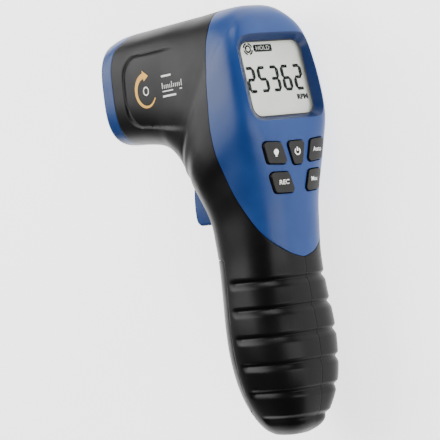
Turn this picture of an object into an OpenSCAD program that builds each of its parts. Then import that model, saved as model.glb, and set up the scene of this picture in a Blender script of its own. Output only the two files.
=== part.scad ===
// Pistol-grip laser tachometer, lying on its right side.
// The modules work in the tool's own frame: x to the rear, y up the grip, z to the left,
// with the parting plane at z = 0. The last step sets that frame on the surface it lies on.

/* [Body] */
// Height from the bottom of the grip to the top of the head
overall_h = 160; // [156:0.5:164]
// Reach of the nose in front of the rear line
barrel_reach = 83; // [80:0.5:88]
// Depth of the barrel from the top of the head to its underside
barrel_depth = 45; // [43:0.5:47]
// Fall of the top line from the head to the nose
nose_drop = 4.6; // [3:0.1:7]
// Width of the nose
nose_w = 35; // [34:0.2:37]
// Width of the head
head_w = 45; // [44:0.2:46]
// Width of the grip at its waist
waist_w = 34.6; // [34:0.2:36]
// Width of the grip at its swell
grip_w = 37.1; // [36.5:0.1:38]
// Front of the grip ahead of the rear line
grip_front = 37.4; // [37:0.1:38]
// How far the grip's swell stands behind the rear line
grip_swell = 2.65; // [1.5:0.05:3.5]
// Wall of the moulded shells
wall = 2.2; // [1.8:0.1:2.6]
// Gap along the seams between shells
seam_gap = 0.2; // [0.1:0.05:0.3]

/* [Grip grooves] */
// Number of finger grooves round the rear of the grip
groove_count = 6; // [4:1:6]
// Top groove below the waist
groove_drop = 7.8; // [6:0.2:9]
// Distance from groove to groove
groove_pitch = 10.25; // [9.5:0.05:10.5]
// Depth of a groove
groove_depth = 1.2; // [0.6:0.1:1.6]

/* [Rear bezel] */
// Front edge of the bezel ahead of the rear line
bezel_front = 17.3; // [16:0.1:18]
// Where the bezel's edge starts to sweep back, below the top
bezel_bend = 40; // [37:0.5:43]
// Lower tip of the bezel below the top
bezel_tip = 94.4; // [93:0.2:96]

/* [Display] */
// Lean of the display from upright
panel_tilt = 8.6; // [7:0.2:10]
// Centre of the display below the top
panel_drop = 28.6; // [28:0.2:29]
// Width of the display that shows
lcd_w = 31; // [29:0.2:31.4]
// Height of the display that shows
lcd_h = 27.4; // [26:0.2:28]
// Depth of the display below the bezel's surface
lcd_depth = 3.3; // [2.8:0.1:3.6]
// How far the sloped rim of the display stands out on each side
lcd_rim = 2.3; // [1.5:0.1:2.6]
// Thickness of the clear window
window_t = 1.2; // [1:0.1:1.4]
// Thickness of the display glass
glass_t = 2.2; // [1.8:0.1:2.4]
// Thickness of the backlight
backlight_t = 5.4; // [4.5:0.1:6]
// Thickness of the main board
board_t = 1.6; // [1:0.1:2]

/* [Keys] */
// How far the keys stand out of the bezel
key_proud = 0.8; // [0.5:0.1:1.2]
// Travel of a key
key_travel = 0.8; // [0.5:0.1:0.9]
// Gap round a key
key_gap = 0.4; // [0.3:0.05:0.5]
// Radius of a key's corners
key_r = 1.6; // [1:0.1:2]

/* [Trigger] */
// Width of the trigger
trigger_w = 13; // [11:0.2:14]
// Gap on each side of the trigger
trigger_gap = 0.35; // [0.3:0.05:0.6]
// Diameter of the trigger's pin
trigger_pin_d = 2.5; // [2:0.1:3]
// Running clearance on a pin's radius
pin_clearance = 0.05; // [0.03:0.01:0.09]
// Wire diameter of the trigger's spring
spring_wire = 0.6; // [0.4:0.05:0.8]
// Coils of the trigger's spring
spring_coils = 5; // [4:1:6]

/* [Battery cover] */
// Seam of the cover ahead of the rear line
cover_seam = 25.2; // [24:0.2:26]
// Height of the cover's top edge above the waist
cover_rise = 1.3; // [-0.7:0.1:2.3]
// Diameter of the cover's hinge pin
cover_pin_d = 2; // [1.6:0.1:2.2]
// Diameter of the hinge knuckles
knuckle_d = 5.2; // [4.8:0.1:5.4]

/* [Battery] */
// Depth of the nine-volt battery
battery_d = 26.5; // [25.5:0.1:26.5]
// Width of the nine-volt battery
battery_w = 17.5; // [16.5:0.1:17.5]
// Height of the battery's case
battery_h = 46; // [45:0.1:46.4]

/* [Optics] */
// Length of the nose ring
ring_len = 7; // [6:0.2:8]
// Lens axis below the top
lens_drop = 29; // [28:0.2:30]
// Diameter of the collecting lens
lens_d = 18; // [16:0.2:18.4]
// Height of the laser axis above the lens axis
laser_rise = 14.5; // [14.3:0.1:15]
// Diameter of the laser module
laser_d = 6.4; // [5:0.1:6.4]

/* [Fasteners] */
// Diameter of the housing screws
screw_d = 2.6; // [2.2:0.1:3]
// Diameter of the housing screws' heads
screw_head_d = 4.6; // [4:0.1:4.8]
// Diameter of the housing bosses
boss_d = 6.4; // [6:0.1:6.8]

/* [Hidden] */
$fn = 48;

black = "#2b2b2d";
blue = "#3e5f95";
grey = "#4a4540";
steel = "#b8bcc0";
green = "#2f6b3a";

// Sections that the body is lofted through, from the nose over the head and down the grip.
// Each is: place along the loft, front or lower point, rear or upper point, half width,
// squareness of the rear half and of the front half.
top_y = overall_h;
waist_y = top_y - 94;
waist_s = 128;
foot_s = 194;
nose_x = -barrel_reach;
barrel_floor = top_y - barrel_depth;
bezel_bend_y = top_y - bezel_bend;
bezel_tip_y = top_y - bezel_tip;
groove_top_y = waist_y - groove_drop;
panel_y = top_y - panel_drop;
lens_y = top_y - lens_drop;
function grip_y(s) = waist_y * (foot_s - s) / (foot_s - waist_s);
sections = [
  [0, [nose_x, barrel_floor], [nose_x, top_y - nose_drop], nose_w / 2, 3.2, 3.2],
  [8, [nose_x + 8, barrel_floor - 0.4], [nose_x + 8, top_y - nose_drop + 2], nose_w / 2 + 0.5, 3.2, 3.2],
  [22, [nose_x + 21, barrel_floor - 2], [nose_x + 23, top_y - 1.9], nose_w / 2 + 1.3, 3.2, 3.2],
  [36, [-54, barrel_floor - 4.8], [-44, top_y - 1.4], head_w / 2 - 3.15, 3.3, 3.1],
  [47, [-49.5, barrel_floor - 8.4], [-30, top_y - 0.8], head_w / 2 - 2.4, 3, 3],
  [55, [-47.4, barrel_floor - 12], [-18, top_y - 0.1], head_w / 2 - 1.9, 2.85, 2.8],
  [61, [-46.4, barrel_floor - 15], [-9.5, top_y - 0.55], head_w / 2 - 1.75, 2.95, 2.7],
  [66, [-45.9, barrel_floor - 16.6], [-4.75, top_y - 3.7], head_w / 2 - 1.6, 3.45, 2.6],
  [70, [-45.4, barrel_floor - 18], [-2.4, top_y - 8.7], head_w / 2 - 1, 4.8, 2.6],
  [75, [-44.9, barrel_floor - 19.6], [-0.85, top_y - 15.9], head_w / 2 - 0.5, 6, 2.5],
  [83, [-44, barrel_floor - 22.5], [1.2, top_y - 29], head_w / 2, 6.7, 2.5],
  [91, [-43, barrel_floor - 25.6], [2.8, top_y - 41], head_w / 2 - 0.4, 6.2, 2.4],
  [98, [-42, top_y - 73.8], [3.1, top_y - 52], head_w / 2 - 1.9, 4.4, 2.4],
  [105, [-40.4, top_y - 77.4], [2.9, top_y - 63], head_w / 2 - 3.2, 3.1, 2.3],
  [112, [-38.8, top_y - 81.6], [2.4, top_y - 73], waist_w / 2 + 0.65, 2.6, 2.3],
  [119, [-38.1, top_y - 87], [1.7, top_y - 83], waist_w / 2 + 0.2, 2.5, 2.2],
  [waist_s, [-grip_front - 0.1, waist_y], [0.7, waist_y], waist_w / 2, 2.5, 2.2],
  [140, [-grip_front, grip_y(140)], [grip_swell - 1.2, grip_y(140)], grip_w / 2 - 0.7, 2.4, 2.2],
  [154, [-grip_front - 0.1, grip_y(154)], [grip_swell, grip_y(154)], grip_w / 2, 2.5, 2.2],
  [165, [-grip_front + 0.2, grip_y(165)], [grip_swell + 0.4, grip_y(165)], grip_w / 2 - 0.6, 2.5, 2.2],
  [176, [-grip_front + 1.6, grip_y(176)], [grip_swell - 1.05, grip_y(176)], grip_w / 2 - 2.9, 2.8, 2.2],
  [185, [-grip_front + 4.5, grip_y(185)], [grip_swell - 3.8, grip_y(185)], grip_w / 2 - 6.5, 2.7, 2.2],
  [191, [-grip_front + 8.5, grip_y(191)], [grip_swell - 8, grip_y(191)], grip_w / 2 - 10.5, 2.8, 2.2],
  [193.5, [-grip_front + 12.5, grip_y(193.5)], [grip_swell - 13.5, grip_y(193.5)], grip_w / 2 - 13.9, 2.8, 2.2],
  [foot_s, [-grip_front + 15.2, 0], [grip_swell - 17.3, 0], grip_w / 2 - 16.2, 2.6, 2.2]
];
last = len(sections) - 1;

// Smooth curve through one column of the sections
function span(s, i = 0) = i >= last - 1 || s <= sections[i + 1][0] ? i : span(s, i + 1);
function rise(i, c) =
  let (a = max(i - 1, 0), b = min(i + 1, last))
  (sections[b][c] - sections[a][c]) / (sections[b][0] - sections[a][0]);
function column(s, c) =
  let (
    i = span(s),
    d = sections[i + 1][0] - sections[i][0],
    u = (s - sections[i][0]) / d,
    u2 = u * u,
    u3 = u2 * u
  )
  (2 * u3 - 3 * u2 + 1) * sections[i][c] + (u3 - 2 * u2 + u) * d * rise(i, c)
  + (3 * u2 - 2 * u3) * sections[i + 1][c] + (u3 - u2) * d * rise(i + 1, c);

// Share of the groove's depth at a height: a steep upper side and a longer lower flank
groove_up = 1.2;
groove_down = 2.6;
function notch(d) =
  d > 0 ? max(0, 1 - d / groove_up) : pow(max(0, 1 + d / groove_down), 1.4);
function groove_at(y) =
  max([for (k = [0:groove_count - 1]) notch(y - groove_top_y + k * groove_pitch)]);
// Grooves run round the rear and end on the sides
groove_end = 104;
groove_fade = 8;
function groove_share(a) = min(1, max(0, (groove_end - abs(a)) / groove_fade));

// Point of the skin at place s and angle a round the section; 0 is the rear, 180 the front.
// Grow moves it outwards.
function skin(s, a, grow = 0, grooved = true) =
  let (
    front = column(s, 1),
    rear = column(s, 2),
    n = abs(a) < 90 ? column(s, 4) : column(s, 5),
    r = pow(pow(abs(cos(a)), n) + pow(abs(sin(a)), n), -1 / n),
    half = (rear - front) / 2,
    cut = grooved ? groove_depth * groove_at((front.y + rear.y) / 2) * groove_share(a) : 0,
    out = 1 + (grow - cut) / norm(half),
    p = (front + rear) / 2 + half * out * r * cos(a)
  )
  [p.x, p.y, (column(s, 3) + grow - cut) * r * sin(a)];

// Stacked rings joined into one closed solid
module loft(rings) {
  m = len(rings[0]);
  n = len(rings);
  sides = [
    for (i = [0:n - 2], j = [0:m - 1], k = [0, 1])
      let (a = i * m + j, b = i * m + (j + 1) % m)
        k == 0 ? [a, b + m, b] : [a, a + m, b + m]
  ];
  foot = [for (j = [0:m - 1]) j];
  head = [for (j = [m - 1:-1:0]) (n - 1) * m + j];
  polyhedron(points = [for (r = rings) each r], faces = concat([foot, head], sides));
}

fine = [0, 12, 24, 35, 45, 55, 67, 79, 90, 96, 104, 117, 130, 143, 156, 168, 180];
coarse = [0, 20, 35, 48, 62, 90, 118, 140, 160, 180];
function last_of(v) = v[len(v) - 1];
function half_ring(s, angles, grow, grooved, below) =
  let (p = [for (a = angles) skin(s, a, grow, grooved)], e = last_of(p))
  below == 0 ? p : concat(p, [[e.x, e.y, -below], [p[0].x, p[0].y, -below]]);
function full_ring(s, angles, grow, grooved) =
  concat(
    [for (a = angles) skin(s, a, grow, grooved)],
    [for (i = [len(angles) - 2:-1:1]) skin(s, -angles[i], grow, grooved)]
  );

// Places along the loft: closer where the form turns, and at each step of a groove
groove_steps = [groove_up, 0.6, 0, -0.9, -groove_down, -(groove_down + groove_pitch - groove_up) / 2];
function at_height(y) = foot_s - y * (foot_s - waist_s) / waist_y;
groove_places = [
  for (k = [0:groove_count - 1], d = groove_steps)
    at_height(groove_top_y - k * groove_pitch + d)
];
front_places = [0, 4, 8, 15, 22, 29, 36, 42, 47, 51, 55, 58, 61, 63.5, 66, 68, 70, 72.5, 75, 79, 83];
throat_places = [88, 93, 98, 103, 108, 113, 118, 123, 128];
foot_places = [192.6, 193.5, 194];
skin_places = concat(
  front_places, throat_places,
  [for (s = groove_places) if (s > waist_s + 2 && s < foot_places[0] - 0.4) s],
  foot_places
);
cavity_places = [
  -3, 9.3, 23.1, 37.2, 48.4, 56.1, 62.2, 67.1, 71.3, 76.4, 84.6, 92.3, 99.4, 106.3, 113.7, 120.8,
  129.6, 141.7, 155.3, 166.2, 177.1, 185.9, 190.4
];

module cavity_half(below) {
  loft([for (s = cavity_places) half_ring(s, coarse, -wall, false, below)]);
}

// Rounded outlines
function arc(c, r, a0, a1, n) = [for (i = [0:n]) c + r * [cos(a0 + (a1 - a0) * i / n), sin(a0 + (a1 - a0) * i / n)]];
function round_box(w, h, r) =
  concat(
    arc([w / 2 - r, h / 2 - r], r, 0, 90, 5), arc([r - w / 2, h / 2 - r], r, 90, 180, 5),
    arc([r - w / 2, r - h / 2], r, 180, 270, 5), arc([w / 2 - r, r - h / 2], r, 270, 360, 5)
  );
function squircle(h, w, n, count = 48) =
  [
    for (i = [0:count - 1])
      let (a = 360 * i / count, r = pow(pow(abs(cos(a)), n) + pow(abs(sin(a)), n), -1 / n))
        [h * r * cos(a), w * r * sin(a)]
  ];
// A flat outline in (y, z) drawn out along x, and one in (x, y) drawn out along z
module along_x(x0, x1) {
  translate([x0, 0, 0]) rotate([90, 0, 90]) linear_extrude(x1 - x0) children();
}
module along_z(z0, z1) {
  translate([0, 0, z0]) linear_extrude(z1 - z0) children();
}
module rod_x(x0, x1, r, y = 0, z = 0) {
  translate([x0, y, z]) rotate([0, 90, 0]) cylinder(h = x1 - x0, r = r);
}
module rod_z(z0, z1, r, p) {
  translate([p.x, p.y, z0]) cylinder(h = z1 - z0, r = r);
}
module block(a, b) {
  translate(a) cube(b - a);
}
module mirrored() {
  children();
  mirror([0, 0, 1]) children();
}

// Side view of the rear bezel: a straight front edge that sweeps back to the tip
far = 60;
tip_x = 0.6;
sweep_rise = bezel_bend_y - bezel_tip_y;
sweep_r = (pow(tip_x + bezel_front, 2) + pow(sweep_rise, 2)) / (2 * (tip_x + bezel_front));
sweep_c = [sweep_r - bezel_front, bezel_bend_y];
sweep_angle = atan2(sweep_rise, sweep_c.x - tip_x);
flare_r = 21;
flare_y = top_y - 10;
module bezel_zone(grow) {
  polygon(concat(
    [[far, bezel_tip_y], [far, top_y + far]],
    [[-bezel_front - flare_r, top_y + far]],
    arc([-bezel_front - flare_r, flare_y], flare_r - grow, 60, 0, 8),
    arc(sweep_c, sweep_r + grow, 180, 180 + sweep_angle + 1, 16)
  ));
}

// Side view of the battery cover: swings about the hinge at its foot
knuckle_r = knuckle_d / 2;
hinge = [-grip_front + 6.6, 10.3];
cover_reach = waist_y + cover_rise - hinge.y;
module cover_zone(grow) {
  seam_x = grow - cover_seam;
  intersection() {
    translate([seam_x - far, hinge.y - grow]) square([far, 2 * far]);
    translate(hinge) circle(r = cover_reach + grow, $fn = 96);
  }
  translate(hinge) circle(r = knuckle_r + grow);
}

// Trigger, its slot and pin
pivot = [-40.4, barrel_floor - 13.5];
pivot_r = 2.8;
trigger_foot = pivot.y - 20;
trigger_face = pivot.x - 9.5;
module trigger_outline() {
  heel = 2.4;
  translate(pivot) circle(r = pivot_r);
  polygon(concat(
    [[pivot.x + pivot_r, pivot.y], [pivot.x, pivot.y], [pivot.x - 2.2, pivot.y - 2.9]],
    [[trigger_face + 1.2, pivot.y - 3.6]],
    arc([trigger_face + 24, pivot.y - 10], 24, 168, 196, 6),
    arc([trigger_face + 4.4, trigger_foot + 3], 3, 200, 270, 5),
    arc([pivot.x + pivot_r - 0.6 - heel, trigger_foot + heel], heel, 270, 360, 4)
  ));
}

// Screw bosses, in the side view
bosses = [[nose_x + 16.5, barrel_floor + 3.2], [-30, top_y - 10], [-22, waist_y + 12], [-16, 8]];
head_z = 5;
pilot_end = 8;

// Flat recess for a label on the barrel's side
recess_front = nose_x + 14.5;
recess_rear = nose_x + 55;
recess_depth = 0.5;
recess_lean = atan2((head_w - nose_w) / 2 - 2.7, barrel_reach - 47);
module label_recess() {
  floor_z = nose_w / 2 + 0.7 - recess_depth;
  mid_y = barrel_floor + 18.5;
  translate([recess_front, mid_y, floor_z]) rotate([0, -recess_lean, 0])
    linear_extrude(8)
      polygon(concat(
        arc([7, 7.5], 7, 180, 95, 5), [[recess_rear - recess_front, 15.5]],
        [[recess_rear - recess_front, -17]], arc([9, -6.5], 9, 262, 180, 5)
      ));
}

// Seats for what is carried inside a half: ribs, posts and lugs
switch_box = [[-33.8, pivot.y - 11.5], [-27.4, pivot.y + 1.5]];
switch_w = 6;
switch_pegs = [[-30.6, switch_box[0].y + 2.6], [-30.6, switch_box[1].y - 2.6]];
peg_r = 1.1;
battery_front = 7.2 - grip_front;
battery_foot = 19;
battery_rear = battery_front + battery_d;
battery_top = battery_foot + battery_h;
board_slot_x = -44.6;
sensor_t = 1.6;
sensor_w = 28;
spring_seat_x = -31;
spring_y = trigger_foot + 3.6;
fit = 0.2;
rib_t = 1.6;
knuckle_half = 2.6;
lug_t = 2.4;
swing_relief = 1.3;
module hinge_lug() {
  lug_x = -cover_seam + 1;
  translate(hinge) circle(r = knuckle_r - 0.3);
  polygon([hinge - [0, 2], hinge + [1, -5], [lug_x, 0], [lug_x, hinge.y - 1], hinge + [1, 1]]);
}
module lug_slice() {
  along_z(knuckle_half + fit, knuckle_half + fit + lug_t) hinge_lug();
}
// What stands inside a half, left standing when its hollow is cut
module inner_seats() {
  for (b = bosses) rod_z(-2, far, boss_d / 2, b);
  rod_z(trigger_w / 2 + trigger_gap, far, pivot_r - 0.4, pivot);
  for (p = switch_pegs) rod_z(switch_w / 2 + fit, far, 2.2, p);
  block([spring_seat_x, spring_y - 3, -2], [spring_seat_x + rib_t, spring_y + 3, far]);
  for (y = [battery_foot + 5, battery_foot + 22, battery_foot + 39])
    block([-24, y, battery_w / 2 + fit], [-8, y + rib_t, far]);
  block([-24, battery_foot - fit - rib_t, -2], [-8, battery_foot - fit, far]);
  for (x = [board_slot_x - fit - rib_t, board_slot_x + sensor_t + fit])
    block([x, lens_y - 9, sensor_w / 2 - 1], [x + rib_t, lens_y + 9, far]);
  lug_slice();
}
module half_shell() {
  difference() {
    loft([for (s = skin_places) half_ring(s, fine, 0, true, 0)]);
    difference() {
      cavity_half(1);
      inner_seats();
    }
    along_z(-1, far) bezel_zone(seam_gap);
    block([nose_x - 5, 0, -1], [nose_x + ring_len, 2 * far + far, far]);
    difference() {
      union() {
        along_z(-1, far) cover_zone(seam_gap);
        rod_z(-1, knuckle_half + 2 * fit + lug_t, knuckle_r + swing_relief, hinge);
      }
      lug_slice();
    }
    block([-far - 20, trigger_foot - 0.5, -1], [-36, pivot.y - 2.2, trigger_w / 2 + trigger_gap]);
    rod_z(0, 9.6, trigger_pin_d / 2, pivot);
    rod_z(-1, knuckle_half + fit + lug_t, cover_pin_d / 2, hinge);
    label_recess();
  }
}
module left_housing() {
  color(black)
    difference() {
      union() {
        half_shell();
        for (p = switch_pegs) rod_z(-switch_w / 2, switch_w / 2 + 1, peg_r, p);
      }
      for (b = bosses) rod_z(-1, pilot_end + fit, screw_d / 2, b);
    }
}
module right_housing() {
  color(black)
    mirror([0, 0, 1])
      difference() {
        half_shell();
        for (b = bosses) {
          rod_z(-1, head_z + 1, screw_d / 2 + 0.1, b);
          rod_z(head_z, far, screw_head_d / 2 + 0.2, b);
        }
      }
}

// Frame of the display: its own x stands out of the panel, its own y runs up it
panel_x = 0.95;
module panel() {
  translate([panel_x, panel_y, 0]) rotate([0, 0, panel_tilt]) children();
}
function on_panel(n, t) =
  [panel_x + n * cos(panel_tilt) - t * sin(panel_tilt), panel_y + n * sin(panel_tilt) + t * cos(panel_tilt)];
window_edge = 1.2;
lcd_r = 4.2;
window_back = -lcd_depth - window_t - 0.1;
glass_back = window_back - glass_t;
board_front = glass_back - backlight_t - 0.1;
glass_h = lcd_h + 6;
glass_w = lcd_w + 4;
frame_half = lcd_h / 2 + 3.7;
posts = [[-20.4, head_w / 2 - 7.3, -5.2], [20, head_w / 2 - 13.5, -2.4]];
post_r = 1.9;
board_screw_d = 1.6;

// Keys: corners as [z, height from the display's centre]; the outer keys lean with the sides of the panel
function on_bezel(corners) = [for (p = corners) p + [0, panel_y]];
key_light_at = on_bezel([[15.1, -23.1], [6.8, -23.8], [5.4, -31.7], [13.9, -31]]);
key_power_at = on_bezel([[4.2, -23.8], [-4.2, -23.8], [-2.6, -32.2], [2.6, -32.2]]);
key_rec_at = on_bezel([[12.7, -34.4], [4.1, -34.8], [2.5, -42.3], [11.7, -41.9]]);
function other_side(at) = [for (i = [1, 0, 3, 2]) [-at[i][0], at[i][1]]];
keys = [key_light_at, key_power_at, other_side(key_light_at), key_rec_at, other_side(key_rec_at)];
function middle(at) = (at[0] + at[1] + at[2] + at[3]) / 4;
// The corners of a key rounded with radius r, and the key grown by d
function rounded(at, r, d) =
  [
    for (i = [0:3])
      let (
        p = at[i],
        u = (at[(i + 3) % 4] - p) / norm(at[(i + 3) % 4] - p),
        v = (at[(i + 1) % 4] - p) / norm(at[(i + 1) % 4] - p),
        half = acos(u * v) / 2,
        axis = (u + v) / norm(u + v),
        c = p + axis * r / sin(half),
        a0 = atan2(-axis.y, -axis.x)
      )
        each [for (k = [-1, -0.5, 0, 0.5, 1]) c + (r + d) * [cos(a0 + k * (90 - half)), sin(a0 + k * (90 - half))]]
  ];
key_plate_x = -1.8;
flange_t = 0.8;
flange_grow = 0.9;
mat_t = 1;
dome_h = 0.5;
dome_r = 2.6;
function board_x(y) = on_panel(board_front, (y - panel_y) / cos(panel_tilt)).x;
module key_prism(at, d, x0, x1) {
  along_x(x0, x1) polygon([for (p = rounded(at, key_r, d)) [p.y, p.x]]);
}
// Slab whose rear face follows the skin, so that a key's face runs with the panel
key_places = [90, 95, 100, 105, 110, 115];
key_angles = [for (a = [-45:9:45]) a];
module key_slab() {
  rows = [for (s = key_places) [for (a = key_angles) skin(s, a, key_proud, false)]];
  floor_x = key_plate_x - 1;
  loft([
    for (i = [0:len(rows) - 1])
      let (
        r = rows[i],
        d = column(key_places[i], 2) - column(key_places[i], 1),
        y = r[0].y + (floor_x - r[0].x) * d.y / d.x
      )
        concat(r, [[floor_x, y, last_of(r).z], [floor_x, y, r[0].z]])
  ]);
}
module key(at) {
  c = middle(at);
  flange_x = key_plate_x - fit;
  color(grey) {
    intersection() {
      key_prism(at, 0, flange_x - 0.2, 6);
      key_slab();
    }
    key_prism(at, flange_grow, flange_x - flange_t, flange_x);
    rod_x(board_x(c.y) + mat_t + dome_h + key_travel + fit, flange_x - 0.1, 1.5, c.y, c.x);
  }
}
module key_light() { key(keys[0]); }
module key_power() { key(keys[1]); }
module key_auto() { key(keys[2]); }
module key_rec() { key(keys[3]); }
module key_max() { key(keys[4]); }

bezel_places = [for (s = concat(front_places, throat_places)) if (s > 40 && s < 127) s];
bezel_angles = [0, 15, 30, 40, 48, 58, 72, 90, 120, 180];
module rear_bezel() {
  color(blue)
    difference() {
      union() {
        difference() {
          intersection() {
            loft([for (s = concat(bezel_places, [134])) full_ring(s, bezel_angles, 0, false)]);
            along_z(-far, far) bezel_zone(0);
          }
          difference() {
            loft([for (s = cavity_places) if (s > 30 && s < 150) full_ring(s, coarse, -wall, false)]);
            panel() block([window_back, -frame_half, -far], [far, frame_half, far]);
            block([key_plate_x, panel_y - 44.3, -far], [far, panel_y - 21.8, far]);
          }
        }
        mirrored() for (p = posts) panel() rod_x(board_front, p[2], post_r, p[0], p[1]);
      }
      panel() loft([
        for (n = [-lcd_depth, 2])
          let (o = lcd_rim * (n + lcd_depth) / lcd_depth)
            [for (q = round_box(lcd_h + 2 * o, lcd_w + 2 * o, lcd_r + o / 3)) [n, q.x, q.y]]
      ]);
      panel() along_x(-lcd_depth - 1, -lcd_depth + 0.1) polygon(round_box(lcd_h, lcd_w, lcd_r));
      panel() block(
        [window_back - far, -lcd_h / 2 - window_edge - fit, -lcd_w / 2 - window_edge - fit],
        [-lcd_depth, lcd_h / 2 + window_edge + fit, lcd_w / 2 + window_edge + fit]
      );
      panel() block(
        [glass_back - fit, -glass_h / 2 - fit, -glass_w / 2 - fit],
        [window_back, glass_h / 2 + fit, glass_w / 2 + fit]
      );
      for (k = keys) {
        key_prism(k, key_gap, -far, far);
        key_prism(k, flange_grow + fit, -far, key_plate_x);
      }
      mirrored() for (p = posts) panel() rod_x(board_front - 1, board_front + 5.5, board_screw_d / 2, p[0], p[1]);
    }
}

module lcd_window() {
  color("#dfe6e8", 0.4)
    panel() block(
      [window_back + 0.1, -lcd_h / 2 - window_edge, -lcd_w / 2 - window_edge],
      [-lcd_depth, lcd_h / 2 + window_edge, lcd_w / 2 + window_edge]
    );
}
module lcd_glass() {
  color("#c9cdc6")
    panel() block([glass_back, -glass_h / 2, -glass_w / 2], [window_back, glass_h / 2, glass_w / 2]);
}
strip_t = 2;
module lcd_backlight() {
  half_h = glass_h / 2 - strip_t - 0.4;
  color("#f2f2ee")
    panel() block([board_front, -half_h, -lcd_w / 2 - 1], [glass_back, half_h, lcd_w / 2 + 1]);
}
module lcd_connectors() {
  color("#8a8f94")
    panel()
      for (t = [-glass_h / 2, glass_h / 2 - strip_t])
        block([board_front, t, -lcd_w / 2], [glass_back, t + strip_t, lcd_w / 2]);
}
board_w = head_w - 10.2;
crown_w = head_w - 15.6;
neck_w = head_w - 20.8;
board_neck = -24;
board_crown = -18;
board_low = -44.2;
board_high = 21.8;
module main_board() {
  color(green)
    panel()
      difference() {
        union() {
          block([board_front - board_t, board_neck, -board_w / 2], [board_front, board_crown, board_w / 2]);
          block([board_front - board_t, board_crown - 1, -crown_w / 2], [board_front, board_high, crown_w / 2]);
          block([board_front - board_t, board_low, -neck_w / 2], [board_front, board_neck + 1, neck_w / 2]);
          block([board_front - board_t - 2, -8, -6], [board_front - board_t, 4, 6]);
        }
        mirrored() for (p = posts) rod_x(board_front - board_t - 1, board_front + 1, board_screw_d / 2 + 0.2, p[0], p[1]);
      }
}
module board_screws() {
  color(steel)
    mirrored()
      for (p = posts)
        panel() {
          rod_x(board_front - board_t, board_front + 5, board_screw_d / 2 - 0.05, p[0], p[1]);
          rod_x(board_front - board_t - 1.2, board_front - board_t, 1.8, p[0], p[1]);
        }
}
module keypad_mat() {
  color("#55585c")
    panel() {
      block([board_front, board_low + 1, -neck_w / 2], [board_front + mat_t, -23.4, neck_w / 2]);
      for (k = keys) {
        c = middle(k);
        t = (c.y - panel_y) / cos(panel_tilt) - board_front * tan(panel_tilt);
        rod_x(board_front + mat_t, board_front + mat_t + dome_h, dome_r, t, c.x);
      }
    }
}

// Nose: ring, front plate and optics
ring_rear = nose_x + ring_len;
ring_mid_y = (barrel_floor + top_y - nose_drop) / 2;
ring_half_h = (top_y - nose_drop - barrel_floor) / 2;
ring_wall = 2.6;
shoulder = 1.6;
plate_t = 2.4;
plate_rear = nose_x + 5;
plate_front = plate_rear - plate_t;
nose_square = 3.2;
spigot_len = 4;
spigot_t = 1.4;
module nose_outline(inset) {
  translate([ring_mid_y, 0]) polygon(squircle(ring_half_h - inset, nose_w / 2 - inset, nose_square));
}
edge_r = 2.4;
edge_steps = [10, 40, 65];
module nose_ring() {
  color(blue)
    difference() {
      union() {
        loft(concat(
          [
            for (a = edge_steps)
              [for (p = full_ring(0, fine, edge_r * (sin(a) - 1), false)) p + [edge_r * (1 - cos(a)), 0, 0]]
          ],
          [for (s = [edge_r, ring_len]) full_ring(s, fine, 0, false)]
        ));
        along_x(ring_rear - 1, ring_rear + spigot_len) nose_outline(wall + fit);
      }
      along_x(nose_x - 1, plate_rear) nose_outline(ring_wall);
      along_x(nose_x, ring_rear + spigot_len + 1) nose_outline(wall + fit + spigot_t + shoulder - 1);
    }
}
laser_y = lens_y + laser_rise;
laser_r = laser_d / 2;
lens_rim = 1.5;
module front_plate() {
  color("#202022")
    difference() {
      union() {
        along_x(plate_front, plate_rear) nose_outline(ring_wall + 0.15);
        rod_x(plate_front + 1, plate_rear + 9, laser_r + 1.1, laser_y);
      }
      rod_x(plate_front - 1, plate_rear + 1, lens_d / 2 - 0.8, lens_y);
      rod_x(plate_rear - lens_rim - 0.1, plate_rear + 1, lens_d / 2 + 0.1, lens_y);
      rod_x(plate_front - 1, plate_rear, laser_r - 0.7, laser_y);
      rod_x(plate_rear - 1.2, plate_rear + 10, laser_r + 0.1, laser_y);
    }
}
module collecting_lens() {
  bulge = 1.6;
  r = lens_d / 2 - 0.9;
  ball = (r * r + bulge * bulge) / (2 * bulge);
  color("#b9c6cc", 0.6) {
    rod_x(plate_rear - lens_rim, plate_rear, lens_d / 2, lens_y);
    intersection() {
      translate([plate_rear - lens_rim - bulge + ball, lens_y, 0]) sphere(r = ball, $fn = 96);
      rod_x(plate_rear - lens_rim - bulge - 1, plate_rear - lens_rim + 0.1, r, lens_y);
    }
  }
}
module laser_window() {
  color("#5a1a1a", 0.7) rod_x(plate_rear - 1.2, plate_rear - 0.2, laser_r, laser_y);
}
module laser_module() {
  color("#b5904a")
    difference() {
      rod_x(plate_rear - 0.2, plate_rear + 17, laser_r, laser_y);
      rod_x(plate_rear - 1, plate_rear + 2, laser_r / 2, laser_y);
    }
}
tube_wall = 1;
tube_front_r = lens_d / 2 + 0.6;
tube_rear_r = 4.4;
module sensor_tube() {
  tube_len = board_slot_x - plate_rear;
  color("#1c1c1e")
    translate([plate_rear, lens_y, 0]) rotate([0, 90, 0])
      rotate_extrude()
        polygon([
          [tube_front_r, 0], [tube_front_r, 4], [tube_rear_r, tube_len],
          [tube_rear_r - tube_wall, tube_len], [tube_front_r - tube_wall, 4], [tube_front_r - tube_wall, 0]
        ]);
}
module photodiode() {
  color("#8d9299") {
    rod_x(board_slot_x - 4.6, board_slot_x, 2.3, lens_y);
    rod_x(board_slot_x - 0.8, board_slot_x, 2.8, lens_y);
  }
}
module sensor_board() {
  color(green)
    block([board_slot_x, lens_y - 13, -sensor_w / 2], [board_slot_x + sensor_t, lens_y + 13, sensor_w / 2]);
}

module trigger() {
  color(blue)
    difference() {
      along_z(-trigger_w / 2, trigger_w / 2) trigger_outline();
      rod_z(-far, far, trigger_pin_d / 2 + pin_clearance, pivot);
    }
}
module trigger_pin() {
  color(steel) rod_z(-9.5, 9.5, trigger_pin_d / 2, pivot);
}
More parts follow.
